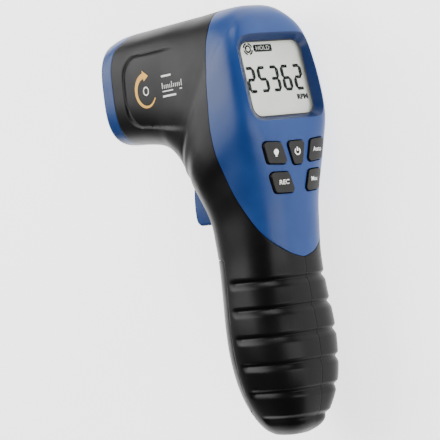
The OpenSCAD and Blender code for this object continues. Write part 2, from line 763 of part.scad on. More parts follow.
// Wire swept along a path of points, as a tube with few sides
function wire_ring(path, i, r, sides) =
  let (
    a = path[max(i - 1, 0)],
    b = path[min(i + 1, len(path) - 1)],
    d = (b - a) / norm(b - a),
    side = cross(d, abs(d.z) < 0.9 ? [0, 0, 1] : [1, 0, 0]),
    u = side / norm(side),
    v = cross(d, u)
  )
  [for (k = [0:sides - 1]) path[i] + r * (cos(360 * k / sides) * u + sin(360 * k / sides) * v)];
module wire(path, r, sides) {
  loft([for (i = [0:len(path) - 1]) wire_ring(path, i, r, sides)]);
}
spring_r = 2.1;
steps_per_coil = 12;
module trigger_spring() {
  x0 = pivot.x + pivot_r - 0.6 + spring_wire / 2 + 0.1;
  x1 = spring_seat_x - spring_wire / 2 - 0.1;
  n = spring_coils * steps_per_coil;
  color(steel)
    wire([
      for (i = [0:n])
        [x0 + (x1 - x0) * i / n, spring_y + spring_r * cos(360 * i / steps_per_coil), spring_r * sin(360 * i / steps_per_coil)]
    ], spring_wire / 2, 6);
}
plunger_gap = 1.6;
module trigger_switch() {
  a = switch_box[0];
  b = switch_box[1];
  color("#26282b")
    difference() {
      union() {
        block([a.x, a.y, -switch_w / 2], [b.x, b.y, switch_w / 2]);
        rod_x(pivot.x + pivot_r - 0.6 + plunger_gap, a.x + 1, 0.9, a.y + 5);
        for (y = [a.y + 2, (a.y + b.y) / 2, b.y - 2])
          block([b.x - 1, y - 1.2, -0.3], [b.x + 3, y + 1.2, 0.3]);
      }
      for (p = switch_pegs) rod_z(-far, far, peg_r + 0.1, p);
    }
}

cover_places = [106, 112, 118, 123, 128, 134, 140, 147, 154, 160, 165, 170, 176, 181, 185, 188, 191];
cover_angles = [0, 30, 60, 90, 104, 118, 130, 143, 156, 168, 180];
module battery_cover() {
  color(black)
    difference() {
      union() {
        intersection() {
          difference() {
            loft([for (s = cover_places) full_ring(s, cover_angles, 0, false)]);
            loft([for (s = cavity_places) if (s > 80) full_ring(s, coarse, -wall, false)]);
          }
          along_z(-far, far) cover_zone(0);
        }
        rod_z(-knuckle_half, knuckle_half, knuckle_r, hinge);
        block(
          [hinge.x - 1, hinge.y, -knuckle_half],
          [hinge.x + 1, hinge.y + 1, knuckle_half]
        );
      }
      mirrored() rod_z(knuckle_half, knuckle_half + 2 * fit + lug_t, knuckle_r + 0.1, hinge);
      rod_z(-far, far, cover_pin_d / 2 + pin_clearance, hinge);
    }
}
module cover_pin() {
  color(steel) rod_z(-knuckle_half - fit - lug_t, knuckle_half + fit + lug_t, cover_pin_d / 2, hinge);
}

terminal_h = 2.6;
terminal_pitch = 12.7;
battery_mid = (battery_front + battery_rear) / 2;
module battery() {
  color("#8f8a7a") {
    block([battery_front, battery_foot, -battery_w / 2], [battery_rear, battery_top, battery_w / 2]);
    for (x = [-1, 1])
      translate([battery_mid + x * terminal_pitch / 2, battery_top, 0]) rotate([-90, 0, 0]) cylinder(h = terminal_h, r = 3);
  }
}
snap_t = 3.4;
module battery_snap() {
  y0 = battery_top + 0.2;
  color("#1d1d1f")
    difference() {
      block([battery_front + 1, y0, -6], [battery_rear - 1, y0 + snap_t, 6]);
      for (x = [-1, 1])
        translate([battery_mid + x * terminal_pitch / 2, y0 - 1, 0]) rotate([-90, 0, 0])
          cylinder(h = terminal_h + 0.9, r = 3.05);
    }
}
lead_r = 0.7;
lead_y = panel_y - 38.4;
module battery_leads() {
  y0 = battery_top + 0.2 + snap_t;
  color("#7a1f1f")
    for (z = [-3, 3])
      wire([
        [-10, y0, z], [-9.9, y0 + 3, z], [-9, y0 + 7, z], [-8.4, y0 + 12, z], [-8.6, y0 + 17, z],
        [-8.8, lead_y - 3, z], [board_x(lead_y) - board_t - 1.7, lead_y - 1, z],
        [board_x(lead_y) - board_t - 0.6, lead_y, z]
      ], lead_r, 8);
}
module housing_screws() {
  color(steel)
    for (b = bosses) {
      rod_z(-head_z, pilot_end, screw_d / 2 - 0.05, b);
      rod_z(-head_z - 1.8, -head_z, screw_head_d / 2, b);
    }
}

// Set down on its right side: x and y centred, the lowest side on z = 0
rear_reach = 3.82;
module lying() {
  translate([(barrel_reach - rear_reach) / 2, -overall_h / 2, head_w / 2]) children();
}
lying() left_housing();
lying() right_housing();
lying() rear_bezel();
lying() nose_ring();
lying() front_plate();
lying() collecting_lens();
lying() laser_window();
lying() laser_module();
lying() sensor_tube();
lying() photodiode();
lying() sensor_board();
lying() main_board();
lying() lcd_window();
lying() lcd_glass();
lying() lcd_backlight();
lying() lcd_connectors();
lying() keypad_mat();
lying() key_light();
lying() key_power();
lying() key_auto();
lying() key_rec();
lying() key_max();
lying() trigger();
lying() trigger_pin();
lying() trigger_spring();
lying() trigger_switch();
lying() battery_cover();
lying() cover_pin();
lying() battery();
lying() battery_snap();
lying() battery_leads();
lying() housing_screws();
lying() board_screws();
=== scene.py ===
import math

import bpy
import numpy as np
from mathutils import Matrix, Vector


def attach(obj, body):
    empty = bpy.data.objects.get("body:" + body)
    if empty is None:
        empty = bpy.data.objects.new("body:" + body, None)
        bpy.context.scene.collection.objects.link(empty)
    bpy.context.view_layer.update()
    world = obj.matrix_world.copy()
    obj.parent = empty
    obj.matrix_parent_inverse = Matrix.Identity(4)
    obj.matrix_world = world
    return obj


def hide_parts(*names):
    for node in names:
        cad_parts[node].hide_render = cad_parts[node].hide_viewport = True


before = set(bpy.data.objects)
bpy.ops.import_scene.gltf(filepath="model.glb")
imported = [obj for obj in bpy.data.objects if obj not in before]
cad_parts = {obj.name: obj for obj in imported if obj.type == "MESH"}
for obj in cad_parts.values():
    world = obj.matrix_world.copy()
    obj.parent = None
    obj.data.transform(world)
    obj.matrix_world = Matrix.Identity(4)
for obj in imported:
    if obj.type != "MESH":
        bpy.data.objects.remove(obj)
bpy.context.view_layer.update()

# Laser tachometer lying on its right side. Lengths are in millimetres in the tool's own frame:
# x to the rear, y up the grip, z to the left, with the parting plane at z = 0.
MM = 0.001
OVERALL_H = 160.0
HEAD_W = 45.0
NOSE_X = -83.0
REAR_REACH = 3.82
SHIFT = np.array([(-NOSE_X - REAR_REACH) / 2, -OVERALL_H / 2, HEAD_W / 2])
WALL = 2.2
SEAM = 0.16


def row_place(points):
    """Points of the tool's frame, in millimetres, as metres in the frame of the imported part."""
    return (np.asarray(points, float) + SHIFT) * MM


# Small helpers
def deselect():
    if bpy.context.mode != "OBJECT":
        bpy.ops.object.mode_set(mode="OBJECT")
    bpy.ops.object.select_all(action="DESELECT")


def pick(obj):
    deselect()
    obj.select_set(True)
    bpy.context.view_layer.objects.active = obj


def modify(obj, kind, **settings):
    """Adds a modifier with its settings and applies it."""
    pick(obj)
    m = obj.modifiers.new(kind.title(), kind)
    for key, value in settings.items():
        setattr(m, key, value)
    bpy.ops.object.modifier_apply(modifier=m.name)


def smooth(obj, angle=35):
    pick(obj)
    bpy.ops.object.shade_smooth_by_angle(angle=math.radians(angle))


def settle(obj):
    """Puts an object's place, turn and size into its mesh."""
    pick(obj)
    bpy.ops.object.transform_apply(location=True, rotation=True, scale=True)


def soften(obj, width, segments, angle=50):
    """Rounds the edges that are sharper than an angle."""
    modify(obj, "BEVEL", width=width * MM, segments=segments, limit_method="ANGLE",
           angle_limit=math.radians(angle))


def named(obj, name):
    obj.name = obj.data.name = name
    return obj


def set_points(obj, points):
    obj.data.vertices.foreach_set("co", np.asarray(points, np.float32).ravel())
    obj.data.update()


def get_points(obj):
    co = np.zeros(len(obj.data.vertices) * 3, np.float32)
    obj.data.vertices.foreach_get("co", co)
    return co.reshape(-1, 3).astype(float)


def select_only(obj, faces=None, verts=None, edges=None):
    """Selects faces, points or edges of a mesh by flags, and opens it in edit mode."""
    pick(obj)
    me = obj.data
    me.vertices.foreach_set("select", np.zeros(len(me.vertices), bool))
    me.edges.foreach_set("select", np.zeros(len(me.edges), bool))
    me.polygons.foreach_set("select", np.zeros(len(me.polygons), bool))
    mode = (faces is None and edges is None, edges is not None, faces is not None)
    bpy.context.tool_settings.mesh_select_mode = mode
    for flags, items in ((faces, me.polygons), (verts, me.vertices), (edges, me.edges)):
        if flags is not None:
            items.foreach_set("select", np.asarray(flags, bool))
    bpy.ops.object.mode_set(mode="EDIT")


def select_all(obj):
    """Opens a mesh in edit mode with all of it selected."""
    pick(obj)
    bpy.ops.object.mode_set(mode="EDIT")
    bpy.ops.mesh.select_all(action="SELECT")


def leave_edit():
    bpy.ops.object.mode_set(mode="OBJECT")


def joined(name, parts):
    deselect()
    for part in parts:
        part.select_set(True)
    bpy.context.view_layer.objects.active = parts[0]
    if len(parts) > 1:
        bpy.ops.object.join()
    return named(parts[0], name)


def outward(obj):
    """Merges doubled points and turns all faces outwards."""
    select_all(obj)
    bpy.ops.mesh.remove_doubles(threshold=1e-6)
    bpy.ops.mesh.normals_make_consistent(inside=False)
    leave_edit()


def open_edges(obj):
    """Flags of the edges that have one face only."""
    faces = {}
    for p in obj.data.polygons:
        for key in p.edge_keys:
            faces[key] = faces.get(key, 0) + 1
    return np.array([faces[tuple(sorted(e.vertices))] == 1 for e in obj.data.edges])


def grid_sheet(name, points):
    """A grid primitive with its points put on rows of points in the tool's frame."""
    rows, cols = points.shape[:2]
    deselect()
    bpy.ops.mesh.primitive_grid_add(x_subdivisions=cols - 1, y_subdivisions=rows - 1, size=1)
    obj = named(bpy.context.object, name)
    set_points(obj, row_place(points).reshape(-1, 3))
    return obj


def filled(points):
    """A filled circle primitive with its points put on an outline in the tool's frame."""
    deselect()
    bpy.ops.mesh.primitive_circle_add(vertices=len(points), radius=1, fill_type="NGON")
    obj = bpy.context.object
    set_points(obj, row_place(points))
    return obj


# The body's form
# Sections from the nose over the head and down the grip: place along the body, front or lower
# point, rear or upper point, half width, squareness of the rear half and of the front half.
TOP = OVERALL_H
WAIST_Y = TOP - 94
WAIST_S, FOOT_S = 128.0, 194.0
FLOOR_Y = TOP - 45
NOSE_W, WAIST_W, GRIP_W = 35.0, 34.6, 37.1
GRIP_F, SWELL = 37.4, 2.65


def grip_y(s):
    return WAIST_Y * (FOOT_S - s) / (FOOT_S - WAIST_S)


SECTIONS = np.array([
    [0, NOSE_X, FLOOR_Y, NOSE_X, TOP - 4.6, NOSE_W / 2, 3.2, 3.2],
    [8, NOSE_X + 8, FLOOR_Y - 0.4, NOSE_X + 8, TOP - 2.6, NOSE_W / 2 + 0.5, 3.2, 3.2],
    [22, NOSE_X + 21, FLOOR_Y - 2, NOSE_X + 23, TOP - 1.9, NOSE_W / 2 + 1.3, 3.2, 3.2],
    [36, -54, FLOOR_Y - 4.8, -44, TOP - 1.4, HEAD_W / 2 - 3.15, 3.3, 3.1],
    [47, -49.5, FLOOR_Y - 8.4, -30, TOP - 0.8, HEAD_W / 2 - 2.4, 3, 3],
    [55, -47.4, FLOOR_Y - 12, -18, TOP - 0.1, HEAD_W / 2 - 1.9, 2.85, 2.8],
    [61, -46.4, FLOOR_Y - 15, -9.5, TOP - 0.55, HEAD_W / 2 - 1.75, 2.95, 2.7],
    [66, -45.9, FLOOR_Y - 16.6, -4.75, TOP - 3.7, HEAD_W / 2 - 1.6, 3.45, 2.6],
    [70, -45.4, FLOOR_Y - 18, -2.4, TOP - 8.7, HEAD_W / 2 - 1, 4.8, 2.6],
    [75, -43.8, FLOOR_Y - 19.6, -0.85, TOP - 15.9, HEAD_W / 2 - 0.5, 6, 2.5],
    [83, -42.2, FLOOR_Y - 22.5, 1.2, TOP - 29, HEAD_W / 2, 6.7, 2.5],
    [91, -40.6, FLOOR_Y - 25.6, 2.8, TOP - 41, HEAD_W / 2 - 0.4, 6.2, 2.4],
    [98, -39.5, TOP - 73.8, 3.1, TOP - 52, HEAD_W / 2 - 1.9, 4.4, 2.4],
    [105, -38.6, TOP - 77.4, 2.9, TOP - 63, HEAD_W / 2 - 3.2, 3.1, 2.3],
    [112, -38, TOP - 81.6, 2.4, TOP - 73, WAIST_W / 2 + 0.65, 2.6, 2.3],
    [119, -38.1, TOP - 87, 1.7, TOP - 83, WAIST_W / 2 + 0.2, 2.5, 2.2],
    [128, -GRIP_F - 0.1, WAIST_Y, 0.7, WAIST_Y, WAIST_W / 2, 2.5, 2.2],
    [140, -GRIP_F, grip_y(140), SWELL - 1.2, grip_y(140), GRIP_W / 2 - 0.7, 2.4, 2.2],
    [154, -GRIP_F - 0.1, grip_y(154), SWELL, grip_y(154), GRIP_W / 2, 2.5, 2.2],
    [165, -GRIP_F + 0.2, grip_y(165), SWELL + 0.4, grip_y(165), GRIP_W / 2 - 0.6, 2.5, 2.2],
    [176, -GRIP_F + 1.6, grip_y(176), SWELL - 1.05, grip_y(176), GRIP_W / 2 - 2.9, 2.8, 2.2],
    [185, -GRIP_F + 4.5, grip_y(185), SWELL - 3.8, grip_y(185), GRIP_W / 2 - 6.5, 2.7, 2.2],
    [191, -GRIP_F + 8.5, grip_y(191), SWELL - 8, grip_y(191), GRIP_W / 2 - 10.5, 2.8, 2.2],
    [193.5, -GRIP_F + 12.5, grip_y(193.5), SWELL - 13.5, grip_y(193.5), GRIP_W / 2 - 13.9, 2.8, 2.2],
    [194, -GRIP_F + 15.2, 0, SWELL - 17.3, 0, GRIP_W / 2 - 16.2, 2.6, 2.2],
])
LAST = len(SECTIONS) - 1
BEFORE = np.maximum(np.arange(LAST + 1) - 1, 0)
AFTER = np.minimum(np.arange(LAST + 1) + 1, LAST)
SLOPES = (SECTIONS[AFTER] - SECTIONS[BEFORE]) / (SECTIONS[AFTER, :1] - SECTIONS[BEFORE, :1])


def columns(s):
    """Front x, y, rear x, y, half width and the two squarenesses at places s along the body."""
    s = np.asarray(s, float)
    i = np.clip(np.searchsorted(SECTIONS[:, 0], s, side="left") - 1, 0, LAST - 1)
    d = (SECTIONS[i + 1, 0] - SECTIONS[i, 0])[..., None]
    u = (s - SECTIONS[i, 0])[..., None] / d
    u2, u3 = u * u, u * u * u
    out = ((2 * u3 - 3 * u2 + 1) * SECTIONS[i] + (u3 - 2 * u2 + u) * d * SLOPES[i]
           + (3 * u2 - 2 * u3) * SECTIONS[i + 1] + (u3 - u2) * d * SLOPES[i + 1])
    return np.moveaxis(out[..., 1:], -1, 0)


GROOVES = [WAIST_Y - 7.8 - 10.25 * k for k in range(6)]
GROOVE_UP, GROOVE_DOWN, GROOVE_DEPTH = 1.2, 2.6, 1.2
GROOVE_END, GROOVE_FADE = 104.0, 8.0


def notch(d):
    """Share of a groove's depth at a height above its bottom: steep above, a long ramp below."""
    total = 0
    for step in (-0.3, -0.15, 0, 0.15, 0.3):
        e = d + step
        above = np.clip(1 - e / GROOVE_UP, 0, 1)
        below = np.clip(1 + e / GROOVE_DOWN, 0, 1) ** 1.4
        total = total + np.where(e > 0, above, below)
    return total / 5


def skin(s, a, grow=0.0, grooved=False):
    """Points of the body's surface at place s and angle a, in degrees; 0 is the rear, 180 the front."""
    fx, fy, rx, ry, half_w, n_rear, n_front = columns(s)
    a = np.radians(a)
    c, q = np.cos(a), np.sin(a)
    n = np.where(np.abs(np.degrees(a)) % 360 < 90, n_rear, n_front)
    r = (np.abs(c) ** n + np.abs(q) ** n + 1e-12) ** (-1 / n)
    hx, hy = (rx - fx) / 2, (ry - fy) / 2
    cut = 0.0
    if grooved:
        mid = (fy + ry) / 2
        depth = np.max([notch(mid - g) for g in GROOVES], axis=0)
        cut = GROOVE_DEPTH * depth * np.clip((GROOVE_END - np.abs(np.degrees(a))) / GROOVE_FADE, 0, 1)
    out = 1 + (grow - cut) / np.hypot(hx, hy)
    return np.stack([(fx + rx) / 2 + hx * out * r * c, (fy + ry) / 2 + hy * out * r * c,
                     (half_w + grow - cut) * r * q], axis=-1)


# Outlines in the side view and on the panel
def soft_min(a, b, k):
    h = np.clip(0.5 + 0.5 * (b - a) / k, 0, 1)
    return b + (a - b) * h - k * h * (1 - h)


def eased(t):
    """A share from 0 to 1 with soft ends."""
    t = np.clip(t, 0, 1)
    return t * t * (3 - 2 * t)


BEZEL_X, BEND_Y, TIP_Y, TIP_X = -17.3, TOP - 40, TOP - 94.4, 0.6
SWEEP_R = ((TIP_X - BEZEL_X) ** 2 + (BEND_Y - TIP_Y) ** 2) / (2 * (TIP_X - BEZEL_X))
FLARE_R, FLARE_Y = 21.0, TOP - 10
POINT_DROP = 0.22


def bezel_side(p):
    """Distance behind the seam between the housing and the rear bezel."""
    x, y = p[..., 0], p[..., 1]
    # The seam runs to a point on the parting line, so it drops there by a share of the width
    near_tip = np.clip((TIP_Y + 22 - y) / 16, 0, 1)
    y = y - POINT_DROP * near_tip * np.clip(np.abs(p[..., 2]) - 0.4, 0, 9)
    low = np.clip(BEND_Y - y, 0, SWEEP_R * 0.999)
    high = np.clip(y - FLARE_Y, 0, FLARE_R * 0.95)
    root_low = np.sqrt(SWEEP_R ** 2 - low ** 2)
    root_high = np.sqrt(FLARE_R ** 2 - high ** 2)
    edge = BEZEL_X + (SWEEP_R - root_low) - (FLARE_R - root_high)
    slope = low / root_low + high / root_high
    return (x - edge) / np.sqrt(1 + slope ** 2)


HINGE = np.array([-GRIP_F + 6.6, 10.3])
COVER_X, COVER_R, KNUCKLE_R, SWING_RELIEF = -25.2, WAIST_Y + 1.3 - 10.3, 2.6, 1.3


def cover_side(p):
    """Distance inside the outline of the battery cover."""
    x, y = p[..., 0], p[..., 1]
    r = np.hypot(x - HINGE[0], y - HINGE[1])
    body = soft_min(soft_min(COVER_X - x, COVER_R - r, 1.6), y - HINGE[1], 1.2)
    return np.maximum(body, KNUCKLE_R - r)


def box_in(u, v, hu, hv, r):
    """Distance inside a rounded rectangle centred on (0, 0)."""
    qu, qv = np.abs(u) - (hu - r), np.abs(v) - (hv - r)
    return -(np.hypot(np.maximum(qu, 0), np.maximum(qv, 0)) + np.minimum(np.maximum(qu, qv), 0) - r)


TILT = math.radians(8.6)
PANEL_X, PANEL_Y = 0.95, TOP - 28.6
LCD_W, LCD_H, LCD_DEPTH, LCD_R, LCD_UP = 31.0, 28.8, 3.3, 4.2, 0.65
RIM_UP, RIM_SIDE, RIM_R = 2.1, 4.9, 1.5


def to_panel(p):
    """Height out of the display panel, up it and across it."""
    x, y = p[..., 0] - PANEL_X, p[..., 1] - PANEL_Y
    c, q = math.cos(TILT), math.sin(TILT)
    return x * c + y * q, y * c - x * q, p[..., 2]


def from_panel(n, t, z):
    c, q = math.cos(TILT), math.sin(TILT)
    return np.stack([PANEL_X + n * c - t * q, PANEL_Y + n * q + t * c, z + 0 * n], axis=-1)


def well_in(p):
    """Distance inside the sloped well round the display."""
    n, t, z = to_panel(p)
    o = (np.clip(n, -LCD_DEPTH, 3) + LCD_DEPTH) / LCD_DEPTH
    return box_in(t - LCD_UP, z, LCD_H / 2 + RIM_UP * o, LCD_W / 2 + RIM_SIDE * o, LCD_R + RIM_R * o)


KEY_R, KEY_GAP, KEY_LIFT, KEY_DEEP = 1.2, 0.45, 0.8, 3.4
# A distance for points that an outline leaves alone, and where the rear face begins
CLEAR, REAR_FACE_X = 9.0, -12.0


def on_bezel(corners):
    return np.array(corners, float) + [0, PANEL_Y]


def other_side(at):
    return np.array([[-at[i][0], at[i][1]] for i in (1, 0, 3, 2)])


LIGHT_AT = on_bezel([[15.4, -23.1], [7.4, -23.8], [5.1, -31.7], [13.5, -31]])
POWER_AT = on_bezel([[4.3, -23.8], [-4.3, -23.8], [-2.2, -32.2], [2.2, -32.2]])
REC_AT = on_bezel([[12.9, -34.4], [5.1, -34.8], [2.7, -42.3], [10.8, -41.9]])
KEYS = {"key_light": LIGHT_AT, "key_power": POWER_AT, "key_auto": other_side(LIGHT_AT),
        "key_rec": REC_AT, "key_max": other_side(REC_AT)}


def quad_in(at, u, v, r):
    """Distance inside a four-sided outline with rounded corners."""
    core = []
    for i in range(4):
        p, a, b = at[i], at[(i + 3) % 4] - at[i], at[(i + 1) % 4] - at[i]
        a, b = a / np.linalg.norm(a), b / np.linalg.norm(b)
        half = math.acos(np.clip(a @ b, -1, 1)) / 2
        axis = (a + b) / np.linalg.norm(a + b)
        core.append(p + axis * r / math.sin(half))
    core = np.array(core)
    centre = core.mean(0)
    near = np.full(np.shape(u), 1e9)
    inside = np.ones(np.shape(u), bool)
    for i in range(4):
        p, e = core[i], core[(i + 1) % 4] - core[i]
        w = np.clip(((u - p[0]) * e[0] + (v - p[1]) * e[1]) / (e @ e), 0, 1)
        near = np.minimum(near, np.hypot(u - p[0] - w * e[0], v - p[1] - w * e[1]))
        side = e[0] * (v - p[1]) - e[1] * (u - p[0])
        inside &= side * (e[0] * (centre[1] - p[1]) - e[1] * (centre[0] - p[0])) >= 0
    return r - np.where(inside, -near, near)


# Shells drawn on the body's form
def snap_to_edge(s, a, place, inside):
    """Slides grid points along the surface until the edge of an outline runs through points.
    Returns the places and the distances inside, which are 0 on the edge."""
    rows, cols = s.shape
    on = np.zeros(s.shape, bool)
    for _ in range(14):
        d = inside(place(s, a))
        d = np.where(on | (np.abs(d) < 1e-4), 0, d)
        best = np.full(s.shape, 9.0)
        ds, da = np.zeros(s.shape), np.zeros(s.shape)
        for axis in (0, 1):
            first = (slice(0, rows - 1), slice(None)) if axis == 0 else (slice(None), slice(0, cols - 1))
            second = (slice(1, rows), slice(None)) if axis == 0 else (slice(None), slice(1, cols))
            d0, d1 = d[first], d[second]
            cross = d0 * d1 < 0
            t = np.where(cross, d0 / np.where(cross, d0 - d1, 1), 0)
            fixed = np.zeros(s.shape, bool)
            if axis == 1:
                fixed[:, 0] = fixed[:, -1] = True
            else:
                fixed[0] = fixed[-1] = True
            step_s, step_a = s[second] - s[first], a[second] - a[first]
            for end, other, share, sign in ((first, second, t, 1), (second, first, 1 - t, -1)):
                take = cross & ~fixed[end] & ((share <= 0.5) | fixed[other]) & (share < best[end])
                best[end] = np.where(take, share, best[end])
                ds[end] = np.where(take, sign * share * step_s, ds[end])
                da[end] = np.where(take, sign * share * step_a, da[end])
        go = best < 2
        if not go.any():
            break
        s, a = s + ds, a + da
        on |= go
    return s, a, d


def shell_sheet(name, places, angles, edges, grow=0.0, grooved=False, reshape=None):
    """A grid laid on the body's form and cut along outlines: a grid primitive is put on the form,
    its points are slid to each edge, and what lies outside is deleted."""
    a, s = np.meshgrid(np.asarray(angles, float), np.asarray(places, float))

    def place(s_, a_):
        p = skin(s_, a_, grow, grooved)
        return reshape(p) if reshape else p

    kept = []
    for inside in edges:
        s, a, d = snap_to_edge(s, a, place, inside)
        kept.append(d)
    points = place(s, a)
    for i, inside in enumerate(edges[:-1]):
        d = inside(points)
        kept[i] = np.where(np.abs(kept[i]) < 1e-9, 0, d)
    obj = grid_sheet(name, points)
    flat = [k.ravel() for k in kept]
    # A square that an edge crosses corner to corner is split along that edge
    for diagonal, method in ((0, "FIXED"), (1, "FIXED_ALTERNATE")):
        quads = np.array([p.vertices[:] if len(p.vertices) == 4 else (0, 0, 0, 0)
                          for p in obj.data.polygons])
        split = np.zeros(len(quads), bool)
        for d in flat:
            c = d[quads]
            mixed = (c.min(1) < 0) & (c.max(1) > 0) & (np.array([len(set(q)) for q in quads]) == 4)
            split |= mixed & (c[:, diagonal] == 0) & (c[:, diagonal + 2] == 0)
        if split.any():
            select_only(obj, faces=split)
            bpy.ops.mesh.quads_convert_to_tris(quad_method=method, ngon_method="BEAUTY")
            leave_edit()
    outside = np.zeros(len(obj.data.polygons), bool)
    for i, p in enumerate(obj.data.polygons):
        v = list(p.vertices)
        for d in flat:
            c = d[v]
            if c.max() <= 0 or c.mean() < 0:
                outside[i] = True
    select_only(obj, faces=outside)
    bpy.ops.mesh.delete(type="FACE")
    leave_edit()
    return obj


def face_out(obj, towards):
    """Turns a sheet's faces so that they look away from a point inside it."""
    me = obj.data
    centre = np.array(row_place(towards))
    total = sum((np.array(p.center) - centre) @ np.array(p.normal) * p.area for p in me.polygons)
    if total < 0:
        select_all(obj)
        bpy.ops.mesh.flip_normals()
        leave_edit()


def wall_up(obj, wall=WALL, edge=0.3, segments=2):
    """Gives a sheet its moulded wall and softens its edges."""
    modify(obj, "SOLIDIFY", thickness=wall * MM, offset=-1, use_even_offset=True, use_quality_normals=True)
    soften(obj, edge, segments, 55)
    smooth(obj, 40)


def spaced(*stops):
    """Places from stop to stop; each stop is (end, step) after the first."""
    out = [stops[0]]
    for end, step in stops[1:]:
        n = max(1, round((end - out[-1]) / step))
        out += list(np.linspace(out[-1], end, n + 1)[1:])
    return np.array(out)


def grip_places():
    """Places down the grip, closer together across each groove."""
    y, out = WAIST_Y, []
    while y > 1.4:
        near = min(abs(y - g + 0.5) for g in GROOVES)
        out.append(FOOT_S - y * (FOOT_S - WAIST_S) / WAIST_Y)
        y -= 0.32 if near < 2.6 else 0.8
    return np.array(out)


RING_LEN, RING_BACK, SIDE_SWEEP, TOP_SWEEP = 7.0, 0.9, 2.0, 5.0


def ring_sweep(y):
    """How far behind its straight line the nose ring ends: it runs back over the top of the barrel."""
    side = np.clip((y - TOP + 16) / 10, 0, 1)
    return RING_BACK + SIDE_SWEEP * side ** 1.5 + TOP_SWEEP * eased((y - TOP + 8.5) / 5.2)


BODY_PLACES = np.concatenate([
    spaced(RING_LEN + SEAM, (40, 0.55), (100, 0.6), (WAIST_S - 0.7, 0.75)), grip_places(),
    spaced(192.8, (193.5, 0.2), (FOOT_S, 0.1)),
])
PIVOT = np.array([-40.4, FLOOR_Y - 13.5])
TRIGGER_FOOT = PIVOT[1] - 20.8
TRIGGER_W = 13.0
SLOT_LOW, SLOT_SIDE, SLOT_REAR_X = 1.3, 0.9, -30.0
SCREWS = [(NOSE_X + 16.5, FLOOR_Y + 3.2), (-30, TOP - 10), (-22, WAIST_Y + 12), (-16, 8)]
SCREW_HOLE_R = 2.5


def off_ring(p):
    return p[..., 0] - NOSE_X - RING_LEN - SEAM - ring_sweep(p[..., 1])


def off_bezel(p):
    return -bezel_side(p) - SEAM


def off_cover(p):
    # Round the knuckle the opening is wider, for the swing of the cover's front edge
    r = np.hypot(p[..., 0] - HINGE[0], p[..., 1] - HINGE[1])
    return np.minimum(-cover_side(p) - SEAM, r - KNUCKLE_R - SWING_RELIEF)


def off_slot(p):
    half_h = (PIVOT[1] - 2.2 - TRIGGER_FOOT + SLOT_LOW) / 2
    mid = TRIGGER_FOOT - SLOT_LOW + half_h
    d = -box_in(p[..., 1] - mid, p[..., 2], half_h, TRIGGER_W / 2 + SLOT_SIDE, 1)
    return np.where(p[..., 0] < SLOT_REAR_X, d, CLEAR)


def off_screws(p):
    d = np.full(p.shape[:-1], CLEAR)
    for x, y in SCREWS:
        d = np.minimum(d, np.hypot(p[..., 0] - x, p[..., 1] - y) - SCREW_HOLE_R)
    return d


LABEL_FRONT, LABEL_TOP, LABEL_LOW, LABEL_REAR = -68.5, 148.4, 120.4, -30.0
LABEL_CORNER, LABEL_DEPTH = 6.0, 0.65


def label_dip(p):
    """Presses the flat recess for a label into the barrel's left side, where it fades out to the rear."""
    x, y = p[..., 0], p[..., 1]
    # The front edge bows back towards its ends, and the lower edge falls away to the rear
    front = x - LABEL_FRONT - 2.2 * np.clip((132 - y) / 14, -1, 1) ** 4
    low = y - LABEL_LOW + 0.12 * (x + 62)
    inside = soft_min(soft_min(front, LABEL_TOP - y, LABEL_CORNER), low, LABEL_CORNER)
    press = eased(inside / 0.9) * eased((LABEL_REAR - x) / 16)
    out = p.copy()
    out[..., 2] -= LABEL_DEPTH * press * np.clip((p[..., 2] - 12) / 3, 0, 1)
    return out


# The halves stop short of the parting plane, which leaves the fine seam seen down the grip
HALF_ANGLES = np.linspace(0.25, 179.75, 113)
HALF_EDGES = [off_ring, off_bezel, off_cover, off_slot]
left = shell_sheet("left_shell", BODY_PLACES, HALF_ANGLES, HALF_EDGES, grooved=True, reshape=label_dip)
right = shell_sheet("right_shell", BODY_PLACES, -HALF_ANGLES, HALF_EDGES + [off_screws], grooved=True)
for shell in (left, right):
    # The foot's small flat is filled in before the wall is drawn
    foot = get_points(shell)[:, 1] < (SHIFT[1] + 0.01) * MM
    select_only(shell, verts=foot)
    bpy.ops.mesh.edge_face_add()
    leave_edit()
    face_out(shell, (-20, 70, 0))
    wall_up(shell)

# Rear bezel
BEZEL_PLACES = spaced(48, (128, 0.55), (131.5, 0.3))
BEZEL_ANGLES = np.linspace(-104, 104, 189)


def off_keys(p):
    d = np.full(p.shape[:-1], CLEAR)
    for at in KEYS.values():
        d = np.minimum(d, -quad_in(at, p[..., 2], p[..., 1], KEY_R) - KEY_GAP)
    return np.where(p[..., 0] > REAR_FACE_X, d, CLEAR)


def off_well(p):
    return np.where(p[..., 0] > REAR_FACE_X, -well_in(p), CLEAR)


bezel = shell_sheet("rear_bezel_moulding", BEZEL_PLACES, BEZEL_ANGLES, [bezel_side, off_well, off_keys])
face_out(bezel, (-20, 120, 0))
# The well's sloped side is drawn down from the hole's edge to the display
pts = get_points(bezel) / MM - SHIFT
near_well = (np.abs(well_in(pts)) < 0.03) & (pts[:, 0] > REAR_FACE_X)
edge_ends = np.array([e.vertices[:] for e in bezel.data.edges])
select_only(bezel, edges=open_edges(bezel) & near_well[edge_ends].all(1))
bpy.ops.mesh.extrude_edges_move()
leave_edit()
pts = get_points(bezel) / MM - SHIFT
new = np.arange(len(pts)) >= len(near_well)
_, t, z = to_panel(pts[new])
t = t - LCD_UP
opening, near = (LCD_H / 2, LCD_W / 2, LCD_R), 0.01
for _ in range(4):
    d = box_in(t, z, *opening)
    slope_t = (box_in(t + near, z, *opening) - d) / near
    slope_z = (box_in(t, z + near, *opening) - d) / near
    t, z = t - d * slope_t, z - d * slope_z
pts[new] = from_panel(np.full(len(t), -LCD_DEPTH), t + LCD_UP, z)
set_points(bezel, row_place(pts))
